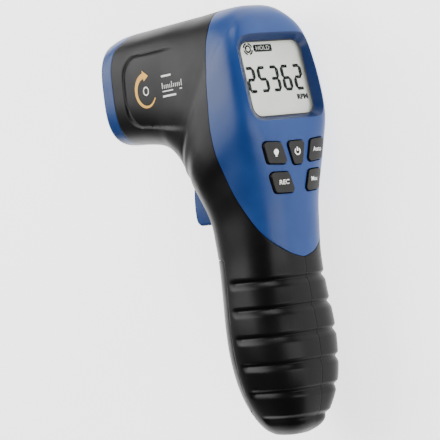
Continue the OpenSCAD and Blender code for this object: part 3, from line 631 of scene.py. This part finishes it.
# The step's faces are flagged for the material, which paints shade on them
step = bezel.data.attributes.new("display_step_shade", "FLOAT", "FACE")
step.data.foreach_set("value", [float(max(p.vertices) >= len(near_well)) for p in bezel.data.polygons])
wall_up(bezel, edge=0.35, segments=3)

# Nose ring: rows from the bore over the rounded front edge to the swept rear edge, closed both ways
RING_POINTS, EDGE_R, BORE_IN = 144, 2.4, 2.6
ring_angles = np.linspace(-180, 180, RING_POINTS, endpoint=False)
ring_row = np.ones(RING_POINTS)
ring_rows = []
for x, rise in [(5.2, 0), (3, 0), (1.2, 0), (0.6, 0), (0.15, 0.18), (0, 0.5)]:
    ring_rows.append(skin(x * ring_row, ring_angles, rise - BORE_IN))
for turn in range(8, 95, 10):
    t = math.radians(min(turn, 90))
    ring_rows.append(skin(EDGE_R * (1 - math.cos(t)) * ring_row, ring_angles, EDGE_R * (math.sin(t) - 1)))
ring_end = RING_LEN * ring_row
for _ in range(8):
    ends = skin(ring_end, ring_angles)
    ring_end = ring_end + NOSE_X + RING_LEN + ring_sweep(ends[:, 1]) - ends[:, 0]
for back, grow in [(3.6, 0), (2.6, 0), (1.7, 0), (0.8, 0), (0.25, 0), (0.07, -0.06),
                   (0, -0.25), (0, -1), (0, -WALL)]:
    ring_rows.append(skin(EDGE_R + (ring_end - EDGE_R) * (1 - back / 4.6), ring_angles, grow))
ring_rows.append(ring_rows[0])
ring = grid_sheet("nose_ring_moulding", np.array([np.vstack([row, row[:1]]) for row in ring_rows]))
outward(ring)
smooth(ring, 40)

# Battery cover
KNUCKLE_W = 5.2
cover = shell_sheet("battery_cover_moulding", spaced(112, (128, 0.7), (188, 0.8), (190.5, 0.5)),
                    np.linspace(98, 262, 150), [cover_side])
face_out(cover, (-20, 40, 0))
wall_up(cover, edge=0.3)
deselect()
bpy.ops.mesh.primitive_cylinder_add(vertices=40, radius=KNUCKLE_R * MM, depth=KNUCKLE_W * MM,
                                    location=row_place((HINGE[0], HINGE[1], 0)))
knuckle = bpy.context.object
settle(knuckle)
soften(knuckle, 0.3, 2)
smooth(knuckle)
cover = joined("battery_cover_moulding", [cover, knuckle])


# Keys
def make_key(name, at):
    """A cap whose face follows the bezel's form, drawn down to a flat back."""
    def inside(p):
        return np.where(p[..., 0] > REAR_FACE_X, quad_in(at, p[..., 2], p[..., 1], KEY_R), -CLEAR)

    z, y = at.mean(0)
    key = shell_sheet(name + "_cap", spaced(88, (118, 0.3)), np.linspace(-52, 52, 170), [inside],
                      grow=KEY_LIFT)
    face_out(key, (-20, y, z))
    select_only(key, edges=open_edges(key))
    bpy.ops.mesh.extrude_edges_move(TRANSFORM_OT_translate={"value": (-KEY_DEEP * MM, 0, 0)})
    bpy.ops.mesh.edge_face_add()
    leave_edit()
    outward(key)
    soften(key, 0.45, 3)
    smooth(key, 40)
    return key


caps = {name: make_key(name, at) for name, at in KEYS.items()}


# Trigger
def arc(cx, cy, r, a0, a1, n):
    t = np.radians(np.linspace(a0, a1, n + 1))
    return [(cx + r * c, cy + r * q) for c, q in zip(np.cos(t), np.sin(t))]


PIVOT_R, HEEL = 2.8, 2.4
FACE_X = PIVOT[0] - 9.0
heel_x = PIVOT[0] + PIVOT_R - 0.6 - HEEL
shoulder = [(PIVOT[0] - 2.6, PIVOT[1] - 2.0), (PIVOT[0] - 3.6, PIVOT[1] - 2.95),
            (FACE_X + 2.6, PIVOT[1] - 3.4)]
trigger_outline = (arc(PIVOT[0], PIVOT[1], PIVOT_R, 0, 150, 12) + shoulder
                   + arc(FACE_X + 40, PIVOT[1] - 15, 40, 163.5, 184, 14)
                   + arc(FACE_X + 3.2, TRIGGER_FOOT + 3, 3, 190, 270, 6)
                   + arc(heel_x, TRIGGER_FOOT + HEEL, HEEL, 270, 360, 6))
lever = named(filled([(x, y, -TRIGGER_W / 2) for x, y in trigger_outline]), "trigger_lever")
select_all(lever)
bpy.ops.mesh.extrude_region_move(TRANSFORM_OT_translate={"value": (0, 0, TRIGGER_W * MM)})
leave_edit()
outward(lever)
soften(lever, 1.1, 4)
smooth(lever, 40)

# Battery: a block with soft edges and two studs
BATTERY_LOW, BATTERY_HIGH = np.array([7.2 - GRIP_F, 19, -8.75]), np.array([33.7 - GRIP_F, 65, 8.75])
STUD_R, STUD_H, STUD_SIDE, STUD_UP = 2.9, 2.2, 6.35, 0.9
deselect()
bpy.ops.mesh.primitive_cube_add(size=1, location=row_place((BATTERY_LOW + BATTERY_HIGH) / 2),
                                scale=(BATTERY_HIGH - BATTERY_LOW) * MM)
block = bpy.context.object
settle(block)
soften(block, 1.4, 3)
smooth(block)
battery_parts = [block]
for side in (-1, 1):
    deselect()
    spot = ((BATTERY_LOW[0] + BATTERY_HIGH[0]) / 2 + side * STUD_SIDE, BATTERY_HIGH[1] + STUD_UP, 0)
    bpy.ops.mesh.primitive_cylinder_add(vertices=32, radius=STUD_R * MM, depth=STUD_H * MM,
                                        location=row_place(spot), rotation=(math.pi / 2, 0, 0))
    settle(bpy.context.object)
    smooth(bpy.context.object)
    battery_parts.append(bpy.context.object)
battery = joined("battery_block", battery_parts)

# Front plate: raised rims round the lens and the laser window
LENS_Y, LENS_R, LASER_Y, LASER_R = TOP - 29, 9.0, TOP - 14.5, 3.2
PLATE_FRONT = NOSE_X + 2.6


def rim_ring(name, y, r, wire):
    deselect()
    bpy.ops.mesh.primitive_torus_add(major_segments=72, minor_segments=14,
                                     major_radius=r * MM, minor_radius=wire * MM,
                                     location=row_place((PLATE_FRONT, y, 0)), rotation=(0, math.pi / 2, 0))
    obj = named(bpy.context.object, name)
    settle(obj)
    smooth(obj, 60)
    return obj


lens_rim = rim_ring("lens_rim", LENS_Y, LENS_R - 0.4, 0.55)
laser_rim = rim_ring("laser_rim", LASER_Y, LASER_R - 0.5, 0.4)


# Printed marks and lettering
INK_T, INK_LIFT = 0.03, 0.02


def turn_to(obj, way):
    """Turns every face of a flat mark to look along a direction."""
    way = np.array(way, float)
    flags = [np.array(p.normal) @ way < 0 for p in obj.data.polygons]
    select_only(obj, faces=flags)
    bpy.ops.mesh.flip_normals()
    leave_edit()


def marks(name, outlines, place):
    """Printed shapes, one for each flat outline."""
    return joined(name, [filled(place(np.array(outline, float))) for outline in outlines])


def lettering(name, words, size, place, bold=0.0):
    """Printed letters: a text object made a mesh before its points are put in place."""
    deselect()
    bpy.ops.object.text_add()
    obj = bpy.context.object
    obj.data.body, obj.data.size, obj.data.offset = words, size, bold
    obj.data.align_x, obj.data.align_y = "CENTER", "CENTER"
    obj.data.resolution_u = 4
    bpy.ops.object.convert(target="MESH")
    obj = named(bpy.context.object, name)
    set_points(obj, row_place(place(get_points(obj)[:, :2])))
    return obj


def thin(obj, way, thickness=INK_T):
    """Gives a flat mark the thickness of ink."""
    turn_to(obj, way)
    modify(obj, "SOLIDIFY", thickness=thickness * MM, offset=1)


def ring_bow(cx, cy, r, width, a0, a1, n):
    """Outlines of the short pieces of a ring or bow."""
    t = np.radians(np.linspace(a0, a1, n + 1))
    w = np.broadcast_to(width, n + 1) / 2
    out = []
    for i in range(n):
        corners = ((r - w[i], t[i]), (r + w[i], t[i]), (r + w[i + 1], t[i + 1]), (r - w[i + 1], t[i + 1]))
        out.append([(cx + far * math.cos(a), cy + far * math.sin(a)) for far, a in corners])
    return out


def bar(x0, y0, x1, y1):
    return [(x0, y0), (x1, y0), (x1, y1), (x0, y1)]


# Display: seven-segment digits, unit, tab and dial sign lie on the cell, just under the clear window
WINDOW_T = 1.2
GLASS_FRONT = -LCD_DEPTH - WINDOW_T - 0.1
CELL_UP = 1.0
BAR, UPRIGHT, DIGIT_W, DIGIT_H, DIGIT_PITCH, SLANT = 1.25, 1.6, 4.95, 10.0, 5.9, -0.02
DIGITS_X, DIGITS_Y = -13.9, -5.25
LIT = {"2": "abged", "5": "afgcd", "3": "abgcd", "6": "afgedc"}


def digit(lit, u, v):
    """Outlines of the lit segments of one digit with its lower left corner at (u, v)."""
    h, k, gap = BAR / 2, UPRIGHT / 2, 0.05
    w, mid, top = DIGIT_W - UPRIGHT, (DIGIT_H - BAR) / 2, DIGIT_H - BAR
    level = {"d": 0, "g": mid, "a": top}
    upright = {"e": (0, 0), "f": (0, mid), "c": (w, 0), "b": (w, mid)}
    out = []
    for seg in lit:
        if seg in level:
            y = level[seg]
            p = [(gap, y), (gap + h / 2, y - h), (w - gap - h / 2, y - h), (w - gap, y),
                 (w - gap - h / 2, y + h), (gap + h / 2, y + h)]
        else:
            x, y = upright[seg]
            p = [(x, y + gap), (x + k, y + gap + k), (x + k, y + mid - gap - k), (x, y + mid - gap),
                 (x - k, y + mid - gap - k), (x - k, y + gap + k)]
        out.append([(u + k + a + SLANT * b, v + h + b) for a, b in p])
    return out


def on_lcd(lift):
    """Places (across, up) on the display cell; across runs to the right as the reader sees it."""
    return lambda p: from_panel(np.full(len(p), GLASS_FRONT + lift), p[:, 1] + CELL_UP, -p[:, 0])


panel_out = (math.cos(TILT), math.sin(TILT), 0)
shapes = []
for i, figure in enumerate("25362"):
    shapes += digit(LIT[figure], DIGITS_X + DIGIT_PITCH * i, DIGITS_Y)
SIGN_X, SIGN_Y = -9.9, 11.4
shapes += ring_bow(SIGN_X, SIGN_Y, 1.2, 0.7, 0, 360, 20)
for k in range(4):
    shapes += ring_bow(SIGN_X, SIGN_Y, 2.1, 0.65, 90 * k + 12, 90 * k + 78, 4)
shapes.append([(SIGN_X + u, SIGN_Y + v) for u, v in ((-0.5, 0.6), (-0.7, 0.4), (0.4, -0.5))])
shapes.append([(-7.1, 10.7), (-6.4, 10.1), (1.7, 10.1), (2.1, 10.5),
               (2.1, 12.5), (1.7, 12.9), (-6.7, 12.9), (-7.1, 12.5)])
segments = marks("lcd_segments", shapes, on_lcd(INK_LIFT))
unit = lettering("lcd_unit", "RPM", 2.6, lambda p: on_lcd(INK_LIFT)(p * [1.12, 1] + [12.1, -7.8]), 0.16)
segments = joined("lcd_segments", [segments, unit])
thin(segments, panel_out)
tab_word = lettering("lcd_tab_word", "HOLD", 2.3, lambda p: on_lcd(0.06)(p * [1.1, 1] + [-2.5, 11.5]), -0.02)
thin(tab_word, panel_out, 0.01)


def round_loop(half_u, half_v, r, n=8):
    """Points round a rectangle with rounded corners."""
    out = []
    for k, (u, v) in enumerate(((1, 1), (-1, 1), (-1, -1), (1, -1))):
        out += arc(u * (half_u - r), v * (half_v - r), r, 90 * k, 90 * k + 90, n)
    return out


# A thin dark strip lies where the window meets the bezel, as painted shadow at the window's edge
SHADE_STRIP_W = 0.5
outer_loop = round_loop(LCD_W / 2, LCD_H / 2, LCD_R)
inner_loop = round_loop(LCD_W / 2 - SHADE_STRIP_W, LCD_H / 2 - SHADE_STRIP_W, LCD_R - SHADE_STRIP_W)
shade_strip_quads = [[outer_loop[i - 1], outer_loop[i], inner_loop[i], inner_loop[i - 1]]
              for i in range(len(outer_loop))]
shade_strip = marks("window_shade_line", shade_strip_quads,
             lambda p: from_panel(np.full(len(p), INK_LIFT - LCD_DEPTH), p[:, 1] + LCD_UP, -p[:, 0]))
thin(shade_strip, panel_out)


# Key legends, laid on the caps
def on_key(at, shift=(0, 0)):
    mid = at.mean(0) + np.array([-shift[0], shift[1]])
    return lambda p: np.stack([np.full(len(p), 8.0), mid[1] + p[:, 1], mid[0] - p[:, 0]], axis=-1)


def lay_on(obj, target, axis, way):
    """Lays a flat mark on a surface along one axis, then gives it the thickness of ink."""
    turn_to(obj, way)
    settings = {"use_project_" + axis: True, "use_negative_direction": True, "use_positive_direction": False}
    modify(obj, "SHRINKWRAP", target=target, wrap_method="PROJECT", offset=INK_LIFT * MM, **settings)
    modify(obj, "SOLIDIFY", thickness=INK_T * MM, offset=1)


bulb_glass = arc(0, 0.3, 1.05, 0, 345, 23)
bulb = [bulb_glass, [(-0.65, -0.5), (0.65, -0.5), (0.4, -1.0), (-0.4, -1.0)], bar(-0.4, -1.4, 0.4, -1.12)]
power = ring_bow(0, 0, 1.2, 0.5, 128, 412, 20) + [bar(-0.25, 0.1, 0.25, 1.6)]
legends = {
    "key_light": marks("legend_light", bulb, on_key(LIGHT_AT)),
    "key_power": marks("legend_power", power, on_key(POWER_AT, (0, 0.4))),
    "key_auto": lettering("legend_auto", "Auto", 2.3, on_key(KEYS["key_auto"], (0.2, 0)), 0.03),
    "key_rec": lettering("legend_rec", "REC", 2.4, on_key(REC_AT, (0.2, 0)), 0.03),
    "key_max": lettering("legend_max", "Max", 2.2, on_key(KEYS["key_max"], (-0.3, 0.2)), 0.03),
}
for name, obj in legends.items():
    lay_on(obj, caps[name], "x", (1, 0, 0))

# Side print in the recess: an amber turning arrow with white scale ticks, and no words
ARROW_X, ARROW_Y = -55.0, 134.0


def on_side(p):
    return np.stack([ARROW_X + p[:, 0], ARROW_Y + p[:, 1], np.full(len(p), 30.0)], axis=-1)


ARROW_R, ARROW_END, HEAD_HALF = 6.0, 100, 2.1
arrow = ring_bow(0, 0, ARROW_R, np.linspace(0.5, 2.1, 37), 330, ARROW_END, 36)
end = math.radians(ARROW_END)
head = [(r * math.cos(a), r * math.sin(a))
        for r, a in ((ARROW_R + HEAD_HALF, end), (ARROW_R - HEAD_HALF, end), (ARROW_R, end - 0.55))]
# A fine dark line along the recess's front edge: partly the gap round the label inlay, partly painted shadow
# of the recess's edge
border = [(-58.6, 120.7), (-61.2, 121.1), (-63.4, 122.0), (-65.0, 123.4), (-66.2, 125.3), (-67.2, 128.0),
          (-67.9, 131.0), (-68.2, 134.5), (-68.0, 138.5), (-67.3, 142.0), (-66.0, 144.6), (-63.9, 146.6),
          (-61.0, 147.8), (-57, 148.3), (-50, 148.4), (-42, 148.4), (-37, 148.2)]
border = np.array(border) - [ARROW_X, ARROW_Y]
LINE_HALF = 0.3
gap_shade_line = []
for i, (p, q) in enumerate(zip(border, border[1:])):
    side = np.array([q[1] - p[1], p[0] - q[0]]) / np.linalg.norm(q - p)
    w = [LINE_HALF * min(1.0, 0.25 + min(k, len(border) - 1 - k) / 4) for k in (i, i + 1)]
    gap_shade_line.append([p + side * w[0], p - side * w[0], q - side * w[1], q + side * w[1]])
label_gap_shade = marks("label_gap_shade", gap_shade_line, on_side)
turn_arrow = marks("side_print_arrow", arrow + [head], on_side)
ticks = ring_bow(0, 0, 1.5, 0.5, 0, 360, 24)
for k in range(11):
    ticks.append(bar(10.2 + 1.25 * k, -0.4, 10.55 + 1.25 * k, 1.9 if k % 5 == 0 else 1.0))
ticks += [bar(10.2, -1.6, 23.05, -1.2), bar(10.2, -3.6, 19, -2.9), bar(10.2, 4.0, 16.5, 4.7)]
side_ticks = marks("side_print_ticks", ticks, on_side)
for obj in (label_gap_shade, turn_arrow, side_ticks):
    lay_on(obj, left, "z", (0, 0, 1))


# Materials
def srgb(code):
    """A colour as a hex code, turned to linear light."""
    out = []
    for i in (0, 2, 4):
        v = int(code[i:i + 2], 16) / 255
        out.append(v / 12.92 if v <= 0.04045 else ((v + 0.055) / 1.055) ** 2.4)
    return (*out, 1.0)


def node(tree, kind, links=(), **settings):
    """Adds a node, sets it up and links its inputs: links are (input, node, output)."""
    n = tree.nodes.new(kind)
    for key, value in settings.items():
        if key.startswith("in_"):
            n.inputs[key[3:].replace("_", " ")].default_value = value
        else:
            setattr(n, key, value)
    for socket, source, output in links:
        tree.links.new(source.outputs[output], n.inputs[socket])
    return n


def shader_of(mat):
    return mat.node_tree.nodes["Principled BSDF"]


def surface(name, dark, light, rough, spread, grain_mm, bump, drift_mm=16.0, stretch=(1, 1, 1), metal=0.0,
            alpha=1.0, ior=1.53, coat=0.0):
    """A surface whose colour and gloss drift slowly and whose grain stands in the bump. The grains are
    drawn some four times coarser than real ones, which would be lost at the size of the picture."""
    mat = bpy.data.materials.new(name)
    mat.use_nodes = True
    tree, shader = mat.node_tree, shader_of(mat)
    where = node(tree, "ShaderNodeTexCoord")
    drawn = node(tree, "ShaderNodeMapping", [("Vector", where, "Object")], in_Scale=stretch)
    drift = node(tree, "ShaderNodeTexNoise", [("Vector", drawn, "Vector")],
                 in_Scale=1 / (drift_mm * MM), in_Detail=3.0)
    grain = node(tree, "ShaderNodeTexNoise", [("Vector", drawn, "Vector")],
                 in_Scale=1 / (grain_mm * MM), in_Detail=2.0, in_Roughness=0.6)
    tint = node(tree, "ShaderNodeValToRGB", [("Fac", drift, "Fac")])
    for stop, place, colour in zip(tint.color_ramp.elements, (0.35, 0.7), (dark, light)):
        stop.position, stop.color = place, srgb(colour)
    gloss = node(tree, "ShaderNodeMapRange", [("Value", drift, "Fac")],
                 in_From_Min=0.3, in_From_Max=0.7, in_To_Min=rough - spread, in_To_Max=rough + spread)
    relief = node(tree, "ShaderNodeBump", [("Height", grain, "Fac")], in_Strength=bump, in_Distance=0.05 * MM)
    tree.links.new(tint.outputs["Color"], shader.inputs["Base Color"])
    tree.links.new(gloss.outputs["Result"], shader.inputs["Roughness"])
    tree.links.new(relief.outputs["Normal"], shader.inputs["Normal"])
    for socket, value in (("Metallic", metal), ("Alpha", alpha), ("IOR", ior), ("Coat Weight", coat)):
        shader.inputs[socket].default_value = value
    return mat


# Spark-eroded black ABS: its grain breaks the gloss into a satin sheen, near black where it faces the dark
black_abs = surface("black_abs_moulded", "0A090A", "0F0E0F", 0.36, 0.05, 0.45, 0.3, ior=1.22)
# Blue ABS from a finer tool: a shallower grain, so that the edges carry a clear, pale line of light
blue_abs = surface("blue_abs_moulded", "143268", "193A72", 0.36, 0.05, 0.5, 0.2, ior=1.3)
# The step round the display is painted a darker blue than the face: painted shade in the well round the
# display
tree, shader = blue_abs.node_tree, shader_of(blue_abs)
face_tint = shader.inputs["Base Color"].links[0].from_node
on_step = node(tree, "ShaderNodeAttribute", attribute_name="display_step_shade")
well_painted_shade = node(tree, "ShaderNodeMixRGB", [("Fac", on_step, "Fac"), ("Color1", face_tint, "Color")],
              in_Color2=srgb("0C2149"))
tree.links.new(well_painted_shade.outputs["Color"], shader.inputs["Base Color"])
# Painted key plastic, warm dark grey: a satin face under the printed legends
key_abs = surface("grey_key_plastic", "0F0E0D", "181512", 0.42, 0.05, 0.4, 0.25, ior=1.3)
# Screen ink for the legends: slightly uneven white with a dry, matt face
white_ink = surface("white_screen_ink", "E4E4E0", "F4F4F0", 0.6, 0.05, 0.2, 0.2, drift_mm=1.2)
# Amber screen ink of the side print: two warm yellows that drift across the arrow
amber_ink = surface("amber_screen_ink", "E0A21C", "F0BA3A", 0.55, 0.05, 0.2, 0.2, drift_mm=5.0)
# Switched liquid crystal: near black with a faint green, a little uneven like a driven segment
lcd_black = surface("lcd_dark_segment", "010201", "030403", 0.6, 0.05, 0.3, 0.05, drift_mm=2.0, ior=1.05)
# Unswitched cell under its polariser: pale grey-green with a fine pearly grain
lcd_pale = surface("lcd_pale_cell", "C6C9BF", "D0D2C9", 0.5, 0.06, 0.15, 0.1, drift_mm=9.0, ior=1.2)
# Clear acrylic window: thin and faintly reflecting, so that the digits stay crisp behind it
clear_pane = surface("clear_acrylic_window", "8C9494", "A0A8A8", 0.08, 0.02, 0.6, 0.02, alpha=0.03, ior=1.49)
# Opal diffuser sheet: milky white with soft clouds
opal = surface("opal_diffuser_sheet", "ECECE6", "F6F6F2", 0.65, 0.05, 0.5, 0.2)
# Zebra strip: dark and pale conducting layers in silicone rubber
zebra = surface("zebra_contact_rubber", "3A3D40", "8C9094", 0.6, 0.05, 0.2, 0.2,
                drift_mm=0.4, stretch=(1, 1, 3))
# Silicone keypad: dull dark grey with a dusty bloom
silicone = surface("silicone_keypad_rubber", "3C3E41", "4A4D50", 0.72, 0.06, 0.3, 0.3)
# Solder-masked laminate: green with the weave of the glass cloth in its relief
laminate = surface("solder_masked_laminate", "1C4A28", "2A6638", 0.38, 0.08, 0.6, 0.5, drift_mm=4.0)
# Front plate: matt black with coarse erosion grain, so that the optics stand out of it
plate_abs = surface("front_plate_matt_abs", "0C0C0D", "141415", 0.55, 0.06, 0.6, 0.5)
# Collecting lens: clear acrylic with a slight blue, glossy on its bulge
lens_clear = surface("acrylic_collecting_lens", "18222A", "2A3842", 0.05, 0.02, 1.0, 0.02,
                     alpha=0.7, ior=1.6, coat=0.6)
# Laser window: deep red filter glass, nearly black until light falls through it
red_glass = surface("red_filter_glass", "4A0A0C", "6A1214", 0.1, 0.03, 1.0, 0.02, alpha=0.85, ior=1.52)
# Turned brass: rings of the lathe drawn along the barrel
brass = surface("turned_brass", "A8823C", "C9A259", 0.3, 0.06, 0.3, 0.3,
                drift_mm=3.0, stretch=(6, 1, 1), metal=1.0)
# Sensor tube: matt black inside and out against stray light. The same matt black paints the shadow strip at
# the window and the gap-and-shadow line at the label recess
matt_black_and_shade = surface("matt_black_sensor_tube_and_painted_shade", "0A0A0B", "121213", 0.7, 0.05, 0.4, 0.4)
# Drawn sensor can: cool grey metal with faint draw lines
can_metal = surface("drawn_sensor_can", "8A8E94", "A6AAB0", 0.32, 0.06, 0.3, 0.2,
                    stretch=(4, 1, 1), metal=1.0)
# Ground steel of pins and spring: fine lines along the wire
steel = surface("ground_steel", "9EA2A8", "BCC0C6", 0.28, 0.06, 0.25, 0.25,
                drift_mm=3.0, stretch=(1, 1, 4), metal=1.0)
# Zinc-plated screws: bluish bright with cloudy passivation
zinc = surface("zinc_plated_steel", "8F969C", "B4BAC0", 0.3, 0.08, 0.4, 0.3, drift_mm=1.6, metal=1.0)
# Switch body: dark moulded nylon, slightly mottled
switch_nylon = surface("switch_nylon", "1E2022", "2A2C2E", 0.5, 0.06, 0.35, 0.3)
# Battery sleeve: dark film with an amber band, between bright crimped ends, under a thin gloss
sleeve = surface("battery_printed_sleeve", "2A2A2C", "343436", 0.3, 0.06, 0.8, 0.1, coat=0.3)
tree = sleeve.node_tree
where = node(tree, "ShaderNodeTexCoord")
apart = node(tree, "ShaderNodeSeparateXYZ", [("Vector", where, "Object")])
foot_y, head_y = ((p[1] + SHIFT[1]) * MM for p in (BATTERY_LOW, BATTERY_HIGH))
height = node(tree, "ShaderNodeMapRange", [("Value", apart, "Y")], in_From_Min=foot_y, in_From_Max=head_y)
bands = node(tree, "ShaderNodeValToRGB", [("Fac", height, "Result")])
bands.color_ramp.interpolation = "CONSTANT"
for place, colour in ((0.035, "232325"), (0.62, "C98F2A"), (0.965, "A8ABAE")):
    bands.color_ramp.elements.new(place).color = srgb(colour)
bands.color_ramp.elements[0].color = srgb("A8ABAE")
bands.color_ramp.elements[-1].color = srgb("A8ABAE")
tree.links.new(bands.outputs["Color"], shader_of(sleeve).inputs["Base Color"])
# Snap connector: soft black vinyl
snap_vinyl = surface("snap_black_vinyl", "141415", "1E1E20", 0.48, 0.05, 0.35, 0.3)
# Battery leads: red PVC insulation with a soft shine
lead_pvc = surface("lead_red_pvc", "7A1416", "96201F", 0.35, 0.05, 0.4, 0.15)


def assign(obj, mat):
    obj.data.materials.clear()
    obj.data.materials.append(mat)


# Each piece: the body it rides, the CAD nodes it stands for, its slot and its material
PIECES = [
    (left, "housing", ["left_housing"], "black_abs", black_abs),
    (right, "housing", ["right_housing"], "black_abs", black_abs),
    (bezel, "housing", ["rear_bezel"], "blue_abs", blue_abs),
    (ring, "housing", ["nose_ring"], "blue_abs", blue_abs),
    (cover, "battery_cover", ["battery_cover"], "black_abs", black_abs),
    (lever, "trigger", ["trigger"], "blue_abs", blue_abs),
    (battery, "housing", ["battery"], "battery_sleeve", sleeve),
    (lens_rim, "housing", [], "front_plate_abs", plate_abs),
    (laser_rim, "housing", [], "front_plate_abs", plate_abs),
    (segments, "housing", [], "lcd_cell", lcd_black),
    (tab_word, "housing", [], "lcd_cell", lcd_pale),
    # The dark strip at the window is painted shadow
    (shade_strip, "housing", [], "black_abs", matt_black_and_shade),
    # The line at the label recess is partly the inlay's gap and partly painted shadow
    (label_gap_shade, "housing", [], "black_abs", matt_black_and_shade),
    (turn_arrow, "housing", [], "black_abs", amber_ink),
    (side_ticks, "housing", [], "black_abs", white_ink),
]
PIECES += [(obj, name, [name], "key_grey", key_abs) for name, obj in caps.items()]
PIECES += [(obj, name, [], "key_grey", white_ink) for name, obj in legends.items()]
for obj, body, cad_nodes, slot, mat in PIECES:
    assign(obj, mat)
    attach(obj, body)
    if cad_nodes:
        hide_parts(*cad_nodes)

# The CAD nodes that keep their own meshes
KEPT = {
    "front_plate": plate_abs, "collecting_lens": lens_clear, "laser_window": red_glass, "laser_module": brass,
    "sensor_tube": matt_black_and_shade, "photodiode": can_metal, "sensor_board": laminate, "main_board": laminate,
    "lcd_window": clear_pane, "lcd_glass": lcd_pale, "lcd_backlight": opal, "lcd_connectors": zebra,
    "keypad_mat": silicone, "trigger_pin": steel, "trigger_spring": steel, "trigger_switch": switch_nylon,
    "cover_pin": steel, "battery_snap": snap_vinyl, "battery_leads": lead_pvc,
    "housing_screws": zinc, "board_screws": zinc,
}
for name, mat in KEPT.items():
    assign(bpy.data.objects[name], mat)

# Floor, light and camera
deselect()
bpy.ops.mesh.primitive_plane_add(size=8, location=(0, 0, -0.0003))
floor = bpy.context.object
floor.name = "studio_floor"
# Lit studio paper: a dull white with a faint tooth, bright like a lit table, so that shadows stay pale
paper = surface("white_studio_paper", "F2F2F2", "F7F7F7", 0.9, 0.03, 0.8, 0.05, drift_mm=40.0)
shader_of(paper).inputs["Emission Color"].default_value = (1, 1, 1, 1)
shader_of(paper).inputs["Emission Strength"].default_value = 2.0
assign(floor, paper)

world = bpy.data.worlds.new("studio")
bpy.context.scene.world = world
world.use_nodes = True
sky = world.node_tree.nodes["Background"]
sky.inputs["Color"].default_value = (1, 1, 1, 1)
sky.inputs["Strength"].default_value = 0.15

# The camera stands behind and above the bezel's tip, a little rolled, moved over to centre the tool
VIEW_LIFT, VIEW_ROLL = math.radians(42), math.radians(7)
VIEW_FAR, EYE_LEFT, EYE_UP = 877.0, 30.95, 14.1
toward = Vector((math.cos(VIEW_LIFT), 0, math.sin(VIEW_LIFT)))
level = Vector((math.sin(VIEW_LIFT), 0, -math.cos(VIEW_LIFT)))
along = Vector((0, 1, 0))
right_way = level * math.cos(VIEW_ROLL) - along * math.sin(VIEW_ROLL)
up_way = level * math.sin(VIEW_ROLL) + along * math.cos(VIEW_ROLL)
tip = Vector(row_place((0.5, 64.5, 0)))
eye = tip + toward * (VIEW_FAR * MM) - right_way * EYE_LEFT * MM + up_way * EYE_UP * MM
camera = bpy.data.objects.new("camera", bpy.data.cameras.new("camera"))
bpy.context.scene.collection.objects.link(camera)
turn = Matrix((right_way, up_way, toward)).transposed().to_4x4()
camera.matrix_world = Matrix.Translation(eye) @ turn
camera.data.sensor_width = 36
camera.data.lens = 196
bpy.context.scene.camera = camera


def softbox(name, place, aim, size, power):
    """A soft lamp turned to its aim; its place and size are in metres."""
    lamp = bpy.data.lights.new(name, "AREA")
    lamp.shape = "RECTANGLE"
    lamp.size, lamp.size_y = size
    lamp.energy = power
    obj = bpy.data.objects.new(name, lamp)
    bpy.context.scene.collection.objects.link(obj)
    obj.location = place
    obj.rotation_euler = (Vector(aim) - Vector(place)).to_track_quat("-Z", "Y").to_euler()


centre = (0.0, 0.0, 0.02)
softbox("softbox_left", (-0.64, 0.3, 0.68), centre, (0.6, 0.9), 13)
softbox("softbox_rear", (0.75, -0.1, 0.25), centre, (0.3, 0.9), 6)
softbox("softbox_top", (0.1, 0.9, 0.5), centre, (0.8, 0.3), 9)
